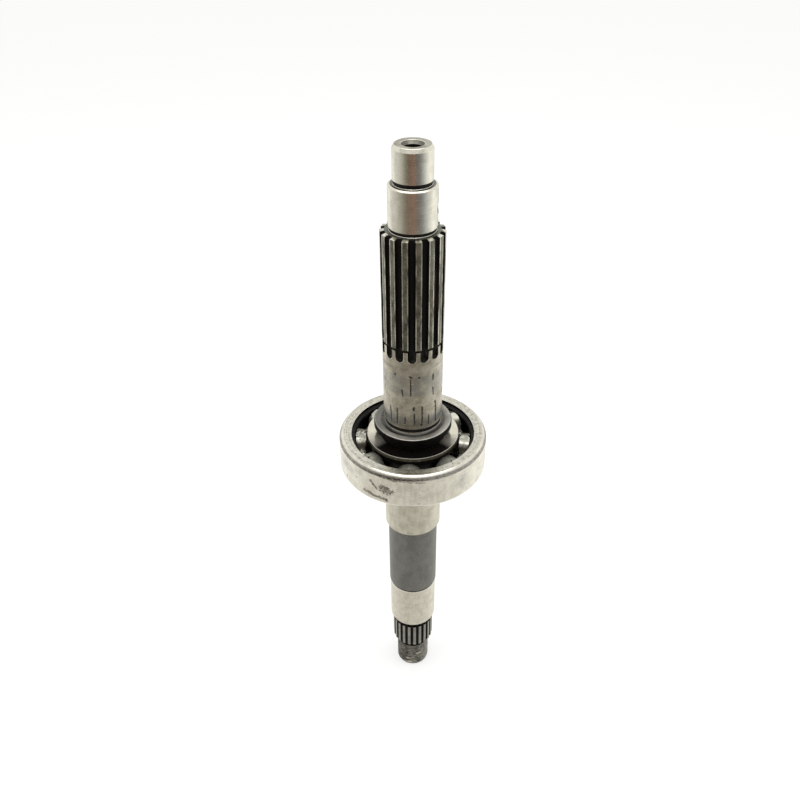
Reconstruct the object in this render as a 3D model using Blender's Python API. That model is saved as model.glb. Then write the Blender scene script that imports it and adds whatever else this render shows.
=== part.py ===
"""Transmission input shaft with the ball bearing that is pressed onto it.

Metres, +Z up. The origin is the centre of the threaded end's face, so the shaft stands upright on it.
Heights are measured from that face, and turns are measured from the front (-Y), positive towards +X.
"""

import math

import bmesh
import bpy

# Threaded lower end
THREAD_DIAMETER = 0.018
THREAD_LENGTH = 0.0171
THREAD_CHAMFER = 0.0007
THREAD_CHAMFER_DROP = 0.0010
THREAD_NECK_DIAMETER = 0.0162
THREAD_NECK_LENGTH = 0.0033

# Fine spline above the thread
FINE_SPLINE_TEETH = 22
FINE_SPLINE_DIAMETER = 0.0225
FINE_SPLINE_LENGTH = 0.0161
FINE_SPLINE_CHAMFER = 0.00105
FINE_GAP_WIDTH = 0.00154
FINE_GAP_FLOOR_WIDTH = 0.0013
FINE_GAP_DEPTH = 0.00115
FINE_GAP_TURN = -2.9
FINE_RELIEF_DIAMETER = 0.0200
FINE_RELIEF_LENGTH = 0.0033

# Lower journal, unground section, and the land below the bearing's seat
LOWER_JOURNAL_DIAMETER = 0.0249
LOWER_JOURNAL_LENGTH = 0.0291
LOWER_JOURNAL_CHAMFER = 0.0006
UNGROUND_DIAMETER = 0.0256
UNGROUND_LENGTH = 0.0434
LAND_DIAMETER = 0.0285
LAND_LENGTH = 0.0379
LAND_CHAMFER = 0.0009
SEAT_BELOW_BEARING_LENGTH = 0.0015
SEAT_CHAMFER = 0.0004

# Ball bearing, in the proportions of a 30 x 72 x 19 mm deep-groove bearing
BEARING_BORE_DIAMETER = 0.030
BEARING_OUTSIDE_DIAMETER = 0.072
BEARING_WIDTH = 0.019
OUTER_CORNER_RADIUS = 0.0020
INNER_CORNER_RADIUS = 0.0010
BALL_COUNT = 8
RING_WALL = 0.00435
BALL_DIAMETER = (BEARING_OUTSIDE_DIAMETER - BEARING_BORE_DIAMETER) / 2 - 2 * RING_WALL
BALL_CIRCLE_DIAMETER = (BEARING_BORE_DIAMETER + BEARING_OUTSIDE_DIAMETER) / 2
FRONT_BALL_TURN = -4.0
RACE_CLEARANCE = 0.00025
RACE_CONFORMITY = 1.04
INNER_SHOULDER_SHARE = 0.26
OUTER_SHOULDER_SHARE = 0.276
RECESS_STEP = 0.0015
RECESS_DEPTH = 0.0016
RECESS_SLOPE = 0.0006

# Two-piece pressed cage, joined by a rivet between each pair of balls. The shares are of a ball.
CAGE_THICKNESS = 0.0010
CAGE_WIDTH_SHARE = 0.38
POCKET_CLEARANCE = 0.0003
RIVET_SHANK_SHARE = 0.146
RIVET_HEAD_SHARE = 0.26
RIVET_HEAD_HEIGHT = 0.0007
RIVET_CROWN_SHARE = 0.5
RIVET_BROW_SHARE = 0.9

# Neck that the bearing is pressed against, the collar on it, and the relief above
COLLAR_NECK_DIAMETER = 0.0322
COLLAR_NECK_LENGTH = 0.0042
COLLAR_NECK_CHAMFER = 0.0003
COLLAR_DIAMETER = 0.0376
COLLAR_THICKNESS = 0.00333
COLLAR_EDGE_RADIUS = 0.0006
COLLAR_LOWER_CHAMFER = 0.0003
COLLAR_FILLET = 0.0006
COLLAR_RELIEF_DIAMETER = 0.0268
COLLAR_RELIEF_LENGTH = 0.00282

# Long journal and the coarse spline above it
LONG_JOURNAL_DIAMETER = 0.0278
LONG_JOURNAL_LENGTH = 0.04195
SNAP_GROOVE_WIDTH = 0.0012
SNAP_GROOVE_DIAMETER = 0.0262
SPLINE_TEETH = 15
SPLINE_DIAMETER = 0.0280
SPLINE_LENGTH = 0.05125
SPLINE_CHAMFER = 0.0019
SPLINE_CHAMFER_DROP = 0.00045
GAP_WIDTH = 0.0031
GAP_FLOOR_WIDTH = 0.0028
GAP_DEPTH = 0.0020
GAP_TURN = -1.7
RUN_OUT_WIDTH = 0.0037
RUN_OUT_DEPTH = 0.0019
RUN_OUT_LENGTH = 0.0053

# Middle journal with its oil hole
MIDDLE_JOURNAL_DIAMETER = 0.0210
MIDDLE_JOURNAL_LENGTH = 0.0178
MIDDLE_JOURNAL_CHAMFER = 0.0009
MIDDLE_JOURNAL_CHAMFER_DROP = 0.0005
MIDDLE_RELIEF_DIAMETER = 0.0202
MIDDLE_RELIEF_LENGTH = 0.00155
OIL_HOLE_DIAMETER = 0.0050
OIL_HOLE_BELOW_JOURNAL_TOP = 0.0099
OIL_HOLE_TURN = 86.0

# Upper journal with its drilled end
UPPER_JOURNAL_DIAMETER = 0.0170
UPPER_JOURNAL_LENGTH = 0.0141
UPPER_JOURNAL_CHAMFER = 0.0009
UPPER_JOURNAL_CHAMFER_DROP = 0.0017
UPPER_RELIEF_DIAMETER = 0.0162
UPPER_RELIEF_LENGTH = 0.0018
BORE_DIAMETER = 0.0071
BORE_DEPTH = 0.032
COUNTERSINK_DIAMETER = 0.0099
COUNTERSINK_ANGLE = 90.0
DRILL_POINT_ANGLE = 118.0

# Space left between pieces that touch on the real object
FIT_GAP = 0.0003

# Mesh fineness
SHAFT_SEGMENTS = 45
OUTER_RING_SEGMENTS = 48
RIVET_SEGMENTS = 8
HOLE_SEGMENTS = 12
BALL_SUBDIVISIONS = 3
RACE_STEPS = 6
ROUNDING_STEPS = 3
POCKET_STEPS = 6
GAP_ROUNDING_STEPS = 3
SMOOTH_ANGLE = 30.0
CUT_MARGIN = 0.0010
MERGE_DISTANCE = 1e-7

SHAFT_STEEL = ("shaft_steel", (0.62, 0.60, 0.55), 0.28)
RING_STEEL = ("ring_steel", (0.64, 0.62, 0.57), 0.30)
BALL_STEEL = ("ball_steel", (0.72, 0.71, 0.68), 0.12)
CAGE_STEEL = ("cage_steel", (0.58, 0.57, 0.53), 0.30)
RIVET_STEEL = ("rivet_steel", (0.42, 0.42, 0.41), 0.36)


def clear_scene():
    for item in list(bpy.data.objects):
        bpy.data.objects.remove(item, do_unlink=True)


def material(name, colour, roughness):
    found = bpy.data.materials.get(name)
    if found:
        return found
    made = bpy.data.materials.new(name)
    made.use_nodes = True
    shader = made.node_tree.nodes["Principled BSDF"]
    shader.inputs["Base Color"].default_value = (*colour, 1.0)
    shader.inputs["Metallic"].default_value = 1.0
    shader.inputs["Roughness"].default_value = roughness
    return made


def add_object(name, bm, finish=None, location=(0.0, 0.0, 0.0), parent=None):
    """Makes an object of the finished bmesh. One with no finish is a hidden cutter."""
    bmesh.ops.recalc_face_normals(bm, faces=bm.faces)
    mesh = bpy.data.meshes.new(name)
    bm.to_mesh(mesh)
    bm.free()
    made = bpy.data.objects.new(name, mesh)
    bpy.context.scene.collection.objects.link(made)
    made.location = location
    made.parent = parent
    if finish:
        mesh.materials.append(material(*finish))
        mesh.shade_smooth()
        mesh.set_sharp_from_angle(angle=math.radians(SMOOTH_ANGLE))
    else:
        made.hide_render = True
        made.display_type = "WIRE"
    return made


def add_axis(name, location):
    made = bpy.data.objects.new(name, None)
    bpy.context.scene.collection.objects.link(made)
    made.location = location
    return made


def cut(target, cutter):
    boolean = target.modifiers.new(f"cut_{cutter.name}", "BOOLEAN")
    boolean.operation = "DIFFERENCE"
    boolean.solver = "EXACT"
    boolean.object = cutter


def from_front(turn):
    """The angle about +Z, in radians, of a turn in degrees counted from the front."""
    return math.radians(turn - 90.0)


def around(radius, angle, height=0.0):
    return (radius * math.cos(angle), radius * math.sin(angle), height)


def turned(outline, segments, closed=False, start=0.0):
    """A bmesh of an (radius, height) outline turned about Z, from the given angle."""
    bm = bmesh.new()
    verts = [bm.verts.new(around(radius, start, height)) for radius, height in outline]
    edges = [bm.edges.new(pair) for pair in zip(verts, verts[1:])]
    if closed:
        edges.append(bm.edges.new((verts[-1], verts[0])))
    bmesh.ops.spin(
        bm, geom=verts + edges, cent=(0, 0, 0), axis=(0, 0, 1),
        angle=math.tau, steps=segments, use_merge=True,
    )
    bmesh.ops.remove_doubles(bm, verts=bm.verts, dist=MERGE_DISTANCE)
    return bm


def chamfered(inset, drop):
    """Corner points, as (inset, drop) from the sharp corner, from the end face to the side."""
    return [(inset, 0.0), (0.0, drop)]


def rounded(radius):
    turns = [math.pi / 2 * step / ROUNDING_STEPS for step in range(ROUNDING_STEPS + 1)]
    return [(radius * (1 - math.sin(t)), radius * (1 - math.cos(t))) for t in turns]


SHARP = [(0.0, 0.0)]


def land(base, diameter, length, below=SHARP, above=SHARP):
    """Outline of one cylinder that stands on base, going up, with its two corners."""
    radius, top = diameter / 2, base + length
    lower = [(radius - inset, base + drop) for inset, drop in below]
    upper = [(radius - inset, top - drop) for inset, drop in reversed(above)]
    return lower + upper


def heights():
    """The height of each section's lower end, by name, and of the top face."""
    lengths = (
        ("thread", THREAD_LENGTH),
        ("thread_neck", THREAD_NECK_LENGTH),
        ("fine_spline", FINE_SPLINE_LENGTH),
        ("fine_relief", FINE_RELIEF_LENGTH),
        ("lower_journal", LOWER_JOURNAL_LENGTH),
        ("unground", UNGROUND_LENGTH),
        ("land", LAND_LENGTH),
        ("seat", SEAT_BELOW_BEARING_LENGTH),
        ("bearing", BEARING_WIDTH + FIT_GAP),
        ("collar_neck", COLLAR_NECK_LENGTH),
        ("collar", COLLAR_THICKNESS),
        ("collar_relief", COLLAR_RELIEF_LENGTH),
        ("long_journal", LONG_JOURNAL_LENGTH),
        ("snap_groove", SNAP_GROOVE_WIDTH),
        ("spline", SPLINE_LENGTH),
        ("middle_relief", MIDDLE_RELIEF_LENGTH),
        ("middle_journal", MIDDLE_JOURNAL_LENGTH),
        ("upper_relief", UPPER_RELIEF_LENGTH),
        ("upper_journal", UPPER_JOURNAL_LENGTH),
    )
    found, height = {}, 0.0
    for name, length in lengths:
        found[name] = height
        height += length
    found["top"] = height
    return found


def shaft_outline(at):
    """The shaft's turned form, from the threaded end's centre up to the bottom of the bore."""
    seat_diameter = BEARING_BORE_DIAMETER - 2 * FIT_GAP
    seat_length = SEAT_BELOW_BEARING_LENGTH + BEARING_WIDTH + FIT_GAP
    relief = COLLAR_RELIEF_DIAMETER / 2
    outline = [(0.0, 0.0)]
    outline += land(
        at["thread"], THREAD_DIAMETER, THREAD_LENGTH,
        below=chamfered(THREAD_CHAMFER, THREAD_CHAMFER_DROP),
    )
    outline += land(at["thread_neck"], THREAD_NECK_DIAMETER, THREAD_NECK_LENGTH)
    outline += land(
        at["fine_spline"], FINE_SPLINE_DIAMETER, FINE_SPLINE_LENGTH,
        below=chamfered(FINE_SPLINE_CHAMFER, FINE_SPLINE_CHAMFER),
    )
    outline += land(at["fine_relief"], FINE_RELIEF_DIAMETER, FINE_RELIEF_LENGTH)
    outline += land(
        at["lower_journal"], LOWER_JOURNAL_DIAMETER, LOWER_JOURNAL_LENGTH,
        below=chamfered(LOWER_JOURNAL_CHAMFER, LOWER_JOURNAL_CHAMFER),
    )
    outline += land(at["unground"], UNGROUND_DIAMETER, UNGROUND_LENGTH)
    outline += land(
        at["land"], LAND_DIAMETER, LAND_LENGTH, below=chamfered(LAND_CHAMFER, LAND_CHAMFER)
    )
    outline += land(
        at["seat"], seat_diameter, seat_length, below=chamfered(SEAT_CHAMFER, SEAT_CHAMFER)
    )
    outline += land(
        at["collar_neck"], COLLAR_NECK_DIAMETER, COLLAR_NECK_LENGTH,
        below=chamfered(COLLAR_NECK_CHAMFER, COLLAR_NECK_CHAMFER),
    )
    outline += land(
        at["collar"], COLLAR_DIAMETER, COLLAR_THICKNESS,
        below=chamfered(COLLAR_LOWER_CHAMFER, COLLAR_LOWER_CHAMFER),
        above=rounded(COLLAR_EDGE_RADIUS),
    )
    outline += [
        (relief + COLLAR_FILLET, at["collar_relief"]),
        (relief, at["collar_relief"] + COLLAR_FILLET),
        (relief, at["long_journal"]),
    ]
    outline += land(at["long_journal"], LONG_JOURNAL_DIAMETER, LONG_JOURNAL_LENGTH)
    outline += land(at["snap_groove"], SNAP_GROOVE_DIAMETER, SNAP_GROOVE_WIDTH)
    outline += land(
        at["spline"], SPLINE_DIAMETER, SPLINE_LENGTH,
        above=chamfered(SPLINE_CHAMFER, SPLINE_CHAMFER_DROP),
    )
    outline += land(at["middle_relief"], MIDDLE_RELIEF_DIAMETER, MIDDLE_RELIEF_LENGTH)
    outline += land(
        at["middle_journal"], MIDDLE_JOURNAL_DIAMETER, MIDDLE_JOURNAL_LENGTH,
        above=chamfered(MIDDLE_JOURNAL_CHAMFER, MIDDLE_JOURNAL_CHAMFER_DROP),
    )
    outline += land(at["upper_relief"], UPPER_RELIEF_DIAMETER, UPPER_RELIEF_LENGTH)
    outline += land(
        at["upper_journal"], UPPER_JOURNAL_DIAMETER, UPPER_JOURNAL_LENGTH,
        above=chamfered(UPPER_JOURNAL_CHAMFER, UPPER_JOURNAL_CHAMFER_DROP),
    )
    return outline + bore_outline(at["top"])


def bore_outline(top):
    """The countersunk blind bore in the top face, going down to the drill point."""
    mouth, radius = COUNTERSINK_DIAMETER / 2, BORE_DIAMETER / 2
    countersink = (mouth - radius) / math.tan(math.radians(COUNTERSINK_ANGLE / 2))
    drill_point = radius / math.tan(math.radians(DRILL_POINT_ANGLE / 2))
    return [
        (mouth, top),
        (radius, top - countersink),
        (radius, top - BORE_DEPTH),
        (0.0, top - BORE_DEPTH - drill_point),
    ]


def gap_section(width, floor_width, depth, outside):
    """Half of a spline gap's section, as (half width, radius), from its floor out past the teeth."""
    rounding, floor = floor_width / 2, outside - depth
    turns = [math.pi / 2 * step / GAP_ROUNDING_STEPS for step in range(GAP_ROUNDING_STEPS + 1)]
    points = [(rounding * math.sin(t), floor + rounding * (1 - math.cos(t))) for t in turns]
    flare = (width / 2 - rounding) / (depth - rounding) if depth > rounding else 0.0
    return points + [(width / 2 + flare * CUT_MARGIN, outside + CUT_MARGIN)]


def add_gap(bm, section, angle, foot, top, round_foot):
    """Adds one gap's cutter: a slot with a rounded floor and, where asked, a rounded foot."""
    out = (math.cos(angle), math.sin(angle))
    side = (-math.sin(angle), math.cos(angle))
    sweep = 2 * GAP_ROUNDING_STEPS + 2 if round_foot else 1
    corner = foot + section[-1][0] if round_foot else foot
    points = set()
    for half, radius in section:
        for step in range(sweep + 1):
            turn = math.pi * step / sweep
            across = half * math.cos(turn)
            height = corner - (half * math.sin(turn) if round_foot else 0.0)
            x = radius * out[0] + across * side[0]
            y = radius * out[1] + across * side[1]
            points |= {(round(x, 9), round(y, 9), round(level, 9)) for level in (height, top)}
    verts = [bm.verts.new(point) for point in sorted(points)]
    hull = bmesh.ops.convex_hull(bm, input=verts)
    spare = [item for item in hull["geom_interior"] if isinstance(item, bmesh.types.BMVert)]
    bmesh.ops.delete(bm, geom=spare, context="VERTS")


def gap_cutters(name, count, section, first, foot, top, round_foot):
    bm = bmesh.new()
    for index in range(count):
        add_gap(bm, section, first + math.tau * index / count, foot, top, round_foot)
    return add_object(name, bm)


def oil_hole_cutter(at):
    """A cylinder from the bore's middle out through the side of the middle journal."""
    radius = OIL_HOLE_DIAMETER / 2
    length = MIDDLE_JOURNAL_DIAMETER / 2 + CUT_MARGIN
    height = at["upper_relief"] - OIL_HOLE_BELOW_JOURNAL_TOP
    bm = turned([(0, 0), (radius, 0), (radius, length), (0, length)], HOLE_SEGMENTS)
    cutter = add_object("oil_hole_cutter", bm, location=(0, 0, height))
    cutter.rotation_euler = (0, math.pi / 2, from_front(OIL_HOLE_TURN))
    return cutter


def build_shaft(at):
    # The facets meet midway between the edges of each gap, so no gap wall runs along a facet's edge.
    facet = math.tau / SHAFT_SEGMENTS
    bm = turned(shaft_outline(at), SHAFT_SEGMENTS, start=from_front(GAP_TURN) + facet / 2)
    shaft = add_object("shaft", bm, SHAFT_STEEL)
    outside = SPLINE_DIAMETER / 2
    cutters = [
        gap_cutters(
            "spline_gap_cutters", SPLINE_TEETH,
            gap_section(GAP_WIDTH, GAP_FLOOR_WIDTH, GAP_DEPTH, outside),
            from_front(GAP_TURN), at["snap_groove"] + SNAP_GROOVE_WIDTH / 3,
            at["middle_relief"] + MIDDLE_RELIEF_LENGTH / 2, round_foot=False,
        ),
        gap_cutters(
            "run_out_cutters", SPLINE_TEETH,
            gap_section(RUN_OUT_WIDTH, RUN_OUT_WIDTH, RUN_OUT_DEPTH, outside),
            from_front(GAP_TURN), at["snap_groove"] - RUN_OUT_LENGTH,
            at["snap_groove"] + SNAP_GROOVE_WIDTH / 2, round_foot=True,
        ),
        gap_cutters(
            "fine_gap_cutters", FINE_SPLINE_TEETH,
            gap_section(
                FINE_GAP_WIDTH, FINE_GAP_FLOOR_WIDTH, FINE_GAP_DEPTH, FINE_SPLINE_DIAMETER / 2
            ),
            from_front(FINE_GAP_TURN), at["fine_spline"] - THREAD_NECK_LENGTH / 2,
            at["fine_relief"] + FINE_RELIEF_LENGTH / 2, round_foot=False,
        ),
        oil_hole_cutter(at),
    ]
    for cutter in cutters:
        cut(shaft, cutter)


def race_outline(bottom_radius, shoulder_height, inward):
    """A raceway's section about mid-width, as (radius, height), going up."""
    groove = RACE_CONFORMITY * BALL_DIAMETER / 2
    centre = bottom_radius + groove if inward else bottom_radius - groove
    side = -1 if inward else 1
    reach = math.acos(1 - shoulder_height / groove)
    turns = [reach * (2 * step / RACE_STEPS - 1) for step in range(RACE_STEPS + 1)]
    return [(centre + side * groove * math.cos(t), groove * math.sin(t)) for t in turns]


def build_inner_ring(centre):
    half, bore = BEARING_WIDTH / 2, BEARING_BORE_DIAMETER / 2
    race_bottom = (BALL_CIRCLE_DIAMETER - BALL_DIAMETER) / 2 - RACE_CLEARANCE
    shoulder_height = INNER_SHOULDER_SHARE * BALL_DIAMETER
    race = race_outline(race_bottom, shoulder_height, inward=True)
    shoulder = race_bottom + shoulder_height
    corner = INNER_CORNER_RADIUS
    outline = [(bore, corner - half), (bore + corner, -half), (shoulder, -half)]
    outline += race
    outline += [(shoulder, half), (bore + corner, half), (bore, half - corner)]
    start = from_front(GAP_TURN) + math.pi / SHAFT_SEGMENTS
    bm = turned(outline, SHAFT_SEGMENTS, closed=True, start=start)
    add_object("bearing_inner_ring", bm, RING_STEEL, parent=centre)


def build_outer_ring(centre):
    half, outside = BEARING_WIDTH / 2, BEARING_OUTSIDE_DIAMETER / 2
    race_bottom = (BALL_CIRCLE_DIAMETER + BALL_DIAMETER) / 2 + RACE_CLEARANCE
    shoulder_height = OUTER_SHOULDER_SHARE * BALL_DIAMETER
    race = race_outline(race_bottom, shoulder_height, inward=False)
    shoulder = race_bottom - shoulder_height
    recess = shoulder + RECESS_STEP
    corner = rounded(OUTER_CORNER_RADIUS)
    outline = [(outside - inset, drop - half) for inset, drop in corner]
    outline += [(outside - inset, half - drop) for inset, drop in reversed(corner)]
    step = half - RECESS_DEPTH
    outline += [(recess, half), (recess, step), (shoulder, step - RECESS_SLOPE)]
    outline += reversed(race)
    outline += [(shoulder, RECESS_SLOPE - step), (recess, -step), (recess, -half)]
    bm = turned(outline, OUTER_RING_SEGMENTS, closed=True)
    add_object("bearing_outer_ring", bm, RING_STEEL, parent=centre)


def ball_angle(index):
    return from_front(FRONT_BALL_TURN) + math.tau * index / BALL_COUNT


def build_balls(centre):
    """The balls, numbered anticlockwise from the front when seen from above."""
    for index in range(BALL_COUNT):
        bm = bmesh.new()
        bmesh.ops.create_icosphere(
            bm, subdivisions=BALL_SUBDIVISIONS, radius=BALL_DIAMETER / 2
        )
        place = around(BALL_CIRCLE_DIAMETER / 2, ball_angle(index))
        add_object(f"ball_{index + 1}", bm, BALL_STEEL, location=place, parent=centre)


def pocket_stations():
    """One pocket's strip, as (turn, inner height, outer height), and flat at both its ends."""
    inner = BALL_DIAMETER / 2 + POCKET_CLEARANCE
    outer = inner + CAGE_THICKNESS
    low, high = FIT_GAP / 2, FIT_GAP / 2 + CAGE_THICKNESS
    circle = BALL_CIRCLE_DIAMETER / 2
    starts = math.asin(low / inner), math.asin(high / outer)
    stations = []
    for step in range(POCKET_STEPS + 1):
        share = step / POCKET_STEPS
        a, b = (start + (math.pi - 2 * start) * share for start in starts)
        stations.append((
            (-inner * math.cos(a) / circle, inner * math.sin(a)),
            (-outer * math.cos(b) / circle, outer * math.sin(b)),
        ))
    return stations


def build_cage_half(name, side, centre, holes):
    """A wavy ring that rests on its flats; side is 1 for the upper half and -1 for the lower."""
    circle, width = BALL_CIRCLE_DIAMETER / 2, CAGE_WIDTH_SHARE * BALL_DIAMETER
    inside, outside = circle - width / 2, circle + width / 2
    bm = bmesh.new()
    rings = []
    for index in range(BALL_COUNT):
        for (inner_turn, inner), (outer_turn, outer) in pocket_stations():
            near, far = ball_angle(index) + inner_turn, ball_angle(index) + outer_turn
            corners = (
                around(inside, near, side * inner), around(outside, near, side * inner),
                around(outside, far, side * outer), around(inside, far, side * outer),
            )
            rings.append([bm.verts.new(corner) for corner in corners])
    for ring, following in zip(rings, rings[1:] + rings[:1]):
        for a in range(4):
            b = (a + 1) % 4
            bm.faces.new((ring[a], ring[b], following[b], following[a]))
    half = add_object(name, bm, CAGE_STEEL, parent=centre)
    cut(half, holes)


def rivet_place(index):
    return around(BALL_CIRCLE_DIAMETER / 2, ball_angle(index + 0.5))


def rivet_hole_cutters(centre):
    radius = RIVET_SHANK_SHARE * BALL_DIAMETER / 2 + FIT_GAP
    reach = CAGE_THICKNESS + FIT_GAP + CUT_MARGIN
    bm = bmesh.new()
    for index in range(BALL_COUNT):
        made = bmesh.ops.create_cone(
            bm, cap_ends=True, segments=RIVET_SEGMENTS,
            radius1=radius, radius2=radius, depth=2 * reach,
        )
        bmesh.ops.translate(bm, verts=made["verts"], vec=rivet_place(index))
    return add_object("rivet_hole_cutters", bm, parent=centre)


def build_rivets(centre):
    shank, head = RIVET_SHANK_SHARE * BALL_DIAMETER / 2, RIVET_HEAD_SHARE * BALL_DIAMETER / 2
    seat = FIT_GAP / 2 + CAGE_THICKNESS + FIT_GAP
    crown = seat + RIVET_HEAD_HEIGHT
    brow = seat + RIVET_HEAD_HEIGHT / 2
    upper = [
        (shank, seat), (head, seat), (head * RIVET_BROW_SHARE, brow),
        (head * RIVET_CROWN_SHARE, crown), (0.0, crown),
    ]
    outline = [(radius, -height) for radius, height in reversed(upper)] + upper
    for index in range(BALL_COUNT):
        bm = turned(outline, RIVET_SEGMENTS)
        add_object(
            f"cage_rivet_{index + 1}", bm, RIVET_STEEL, location=rivet_place(index), parent=centre
        )


def main():
    clear_scene()
    at = heights()
    build_shaft(at)
    centre = add_axis("bearing_axis", (0, 0, at["bearing"] + BEARING_WIDTH / 2))
    build_inner_ring(centre)
    build_outer_ring(centre)
    build_balls(centre)
    holes = rivet_hole_cutters(centre)
    build_cage_half("cage_upper", 1, centre, holes)
    build_cage_half("cage_lower", -1, centre, holes)
    build_rivets(centre)


main()
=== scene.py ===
"""The looks of the transmission input shaft and its ball bearing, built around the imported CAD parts.

The meshes are made in metres in the frame's own axes: +Z along the shaft, -Y towards the camera.
Radii and heights below are in millimetres, with heights counted from the bearing's upper face.
Turns are in degrees from the front (-Y), positive towards +X.
"""

from collections import namedtuple
from math import acos, asin, atan2, cos, degrees, dist, hypot, pi, radians, sin, sqrt, tau

import bmesh
import bpy
import numpy as np
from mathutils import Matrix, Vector, noise


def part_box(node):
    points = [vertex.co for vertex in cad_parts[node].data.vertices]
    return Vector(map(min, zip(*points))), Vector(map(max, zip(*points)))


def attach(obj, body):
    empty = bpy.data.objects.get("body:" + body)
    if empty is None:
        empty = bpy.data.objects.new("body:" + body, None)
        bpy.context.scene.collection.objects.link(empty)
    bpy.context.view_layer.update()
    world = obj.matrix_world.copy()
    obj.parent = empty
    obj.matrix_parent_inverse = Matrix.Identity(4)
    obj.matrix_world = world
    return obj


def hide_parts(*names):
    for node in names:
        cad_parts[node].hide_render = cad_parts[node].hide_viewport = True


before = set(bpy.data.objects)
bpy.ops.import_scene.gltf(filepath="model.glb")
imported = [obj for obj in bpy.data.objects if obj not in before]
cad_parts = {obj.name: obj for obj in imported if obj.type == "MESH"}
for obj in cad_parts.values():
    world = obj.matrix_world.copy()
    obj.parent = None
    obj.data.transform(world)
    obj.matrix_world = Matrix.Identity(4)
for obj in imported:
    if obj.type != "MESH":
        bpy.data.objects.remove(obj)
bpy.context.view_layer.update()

MM = 0.001
SHAFT_LOW, SHAFT_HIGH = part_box("shaft")
RING_LOW, RING_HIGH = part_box("bearing_outer_ring")
BEARING_TOP = RING_HIGH.z
BEARING_BOTTOM = (RING_LOW.z - BEARING_TOP) / MM
BEARING_MIDDLE = BEARING_BOTTOM / 2
OUTER_RADIUS = RING_HIGH.x / MM
SHAFT_TOP = (SHAFT_HIGH.z - BEARING_TOP) / MM
SHAFT_FOOT = (SHAFT_LOW.z - BEARING_TOP) / MM


class Spline(namedtuple("Spline", "teeth turn radius half floor_half depth rounding arc_steps top_steps")):
    """A splined stretch, with the half widths of its gaps at their tops and at their round floors."""

    def columns(self):
        """How many points a ring has: for each tooth its top, its two sides and its gap's middle."""
        return self.teeth * (2 * (self.arc_steps + 4) + 1 + self.top_steps)

    def side(self):
        """Half of a gap's section, as (half width, radius), from its floor up to the tooth's top."""
        floor = self.radius - self.depth
        turns = [pi / 2 * (step + 1) / self.arc_steps for step in range(self.arc_steps)]
        points = [(self.floor_half * sin(t), floor + self.floor_half * (1 - cos(t))) for t in turns]
        foot, top = points[-1], (self.half, self.radius - self.rounding)
        middle = ((foot[0] + top[0]) / 2, (foot[1] + top[1]) / 2)
        bend = 0.3 * self.rounding
        rounded = [(self.half + bend, self.radius - bend), (self.half + self.rounding, self.radius)]
        return points + [middle, top] + rounded

    def ring(self, height, outside):
        """A ring, counted from the middle of a gap's floor, with nothing outside the given radius."""
        pitch = 360.0 / self.teeth
        right = [(degrees(asin(half / radius)), radius) for half, radius in self.side()]
        tip = right[-1][0]
        shares = [(step + 1) / (self.top_steps + 1) for step in range(self.top_steps)]
        top = [(tip + (pitch - 2 * tip) * share, outside) for share in shares]
        left = [(pitch - turn, radius) for turn, radius in reversed(right)]
        tooth = [(0.0, self.radius - self.depth)] + right + top + left
        starts = [self.turn + pitch * index for index in range(self.teeth)]
        return [
            point(min(radius, outside), start + turn, height) for start in starts for turn, radius in tooth]

    def pattern(self, floor, edge, top):
        """The finishes round one tooth, in the order of the ring's points."""
        walls = [floor] * (self.arc_steps + 2)
        return walls + [edge] * 3 + [top] * (self.top_steps - 1) + [edge] * 3 + walls


# Camera, fitted to the ellipses of the bearing, the collar and the journals in the photo
CAMERA_PLACE = (0.0, -0.3125, 0.4083)
CAMERA_TILT = 54.87
CAMERA_LENS = CAMERA_SENSOR = 36.0
CAMERA_SHIFT = (-0.01606, 0.000625)

# Drilled upper end, with a rim as (outwards, up, finish), and two journals, with chamfers as (inwards, down)
BORE_RADIUS, BORE_DEPTH, BORE_POINT_SHARE = 3.55, 32.0, 0.6
COUNTERSINK_RADIUS, COUNTERSINK_DEPTH = 4.95, 1.4
COUNTERSINK_RIM = ((-0.1, -0.15, "countersink"), (0.0, -0.03, "rim"), (0.15, 0.0, "rim"))
UPPER_RADIUS, UPPER_CHAMFER = 8.5, (0.9, 1.7)
UPPER_RELIEF_RADIUS, UPPER_RELIEF_TOP = 8.1, 126.2
MIDDLE_RADIUS, MIDDLE_TOP, MIDDLE_CHAMFER = 10.5, 124.4, (0.9, 0.5)
MIDDLE_RELIEF_RADIUS, MIDDLE_RELIEF_TOP = 10.1, 106.6
OIL_HOLE_RADIUS, OIL_HOLE_HEIGHT, OIL_HOLE_TURN, OIL_HOLE_PAST = 2.5, 114.5, 86.0, 1.0

# Coarse spline, its snap-ring groove and its run-outs into the long journal
COARSE = Spline(
    teeth=15, turn=-1.7, radius=14.0, half=1.55, floor_half=1.4, depth=2.0, rounding=0.16, arc_steps=4,
    top_steps=6)
SPLINE_TOP, SPLINE_FOOT, SPLINE_ROWS = 105.05, 53.8, 12
SPLINE_BEVEL, SPLINE_FACE_EDGE = (1.9, 0.45), 0.15
SNAP_GROOVE_RADIUS, SNAP_GROOVE_FOOT, SNAP_GROOVE_STEP = 13.1, 52.6, 0.05
LONG_RADIUS, LONG_FOOT = 13.9, 10.65
RUN_OUT = COARSE._replace(radius=LONG_RADIUS, half=1.85, floor_half=1.85, depth=1.9)
RUN_OUT_FOOT, RUN_OUT_ROWS = 47.3, 7

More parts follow.
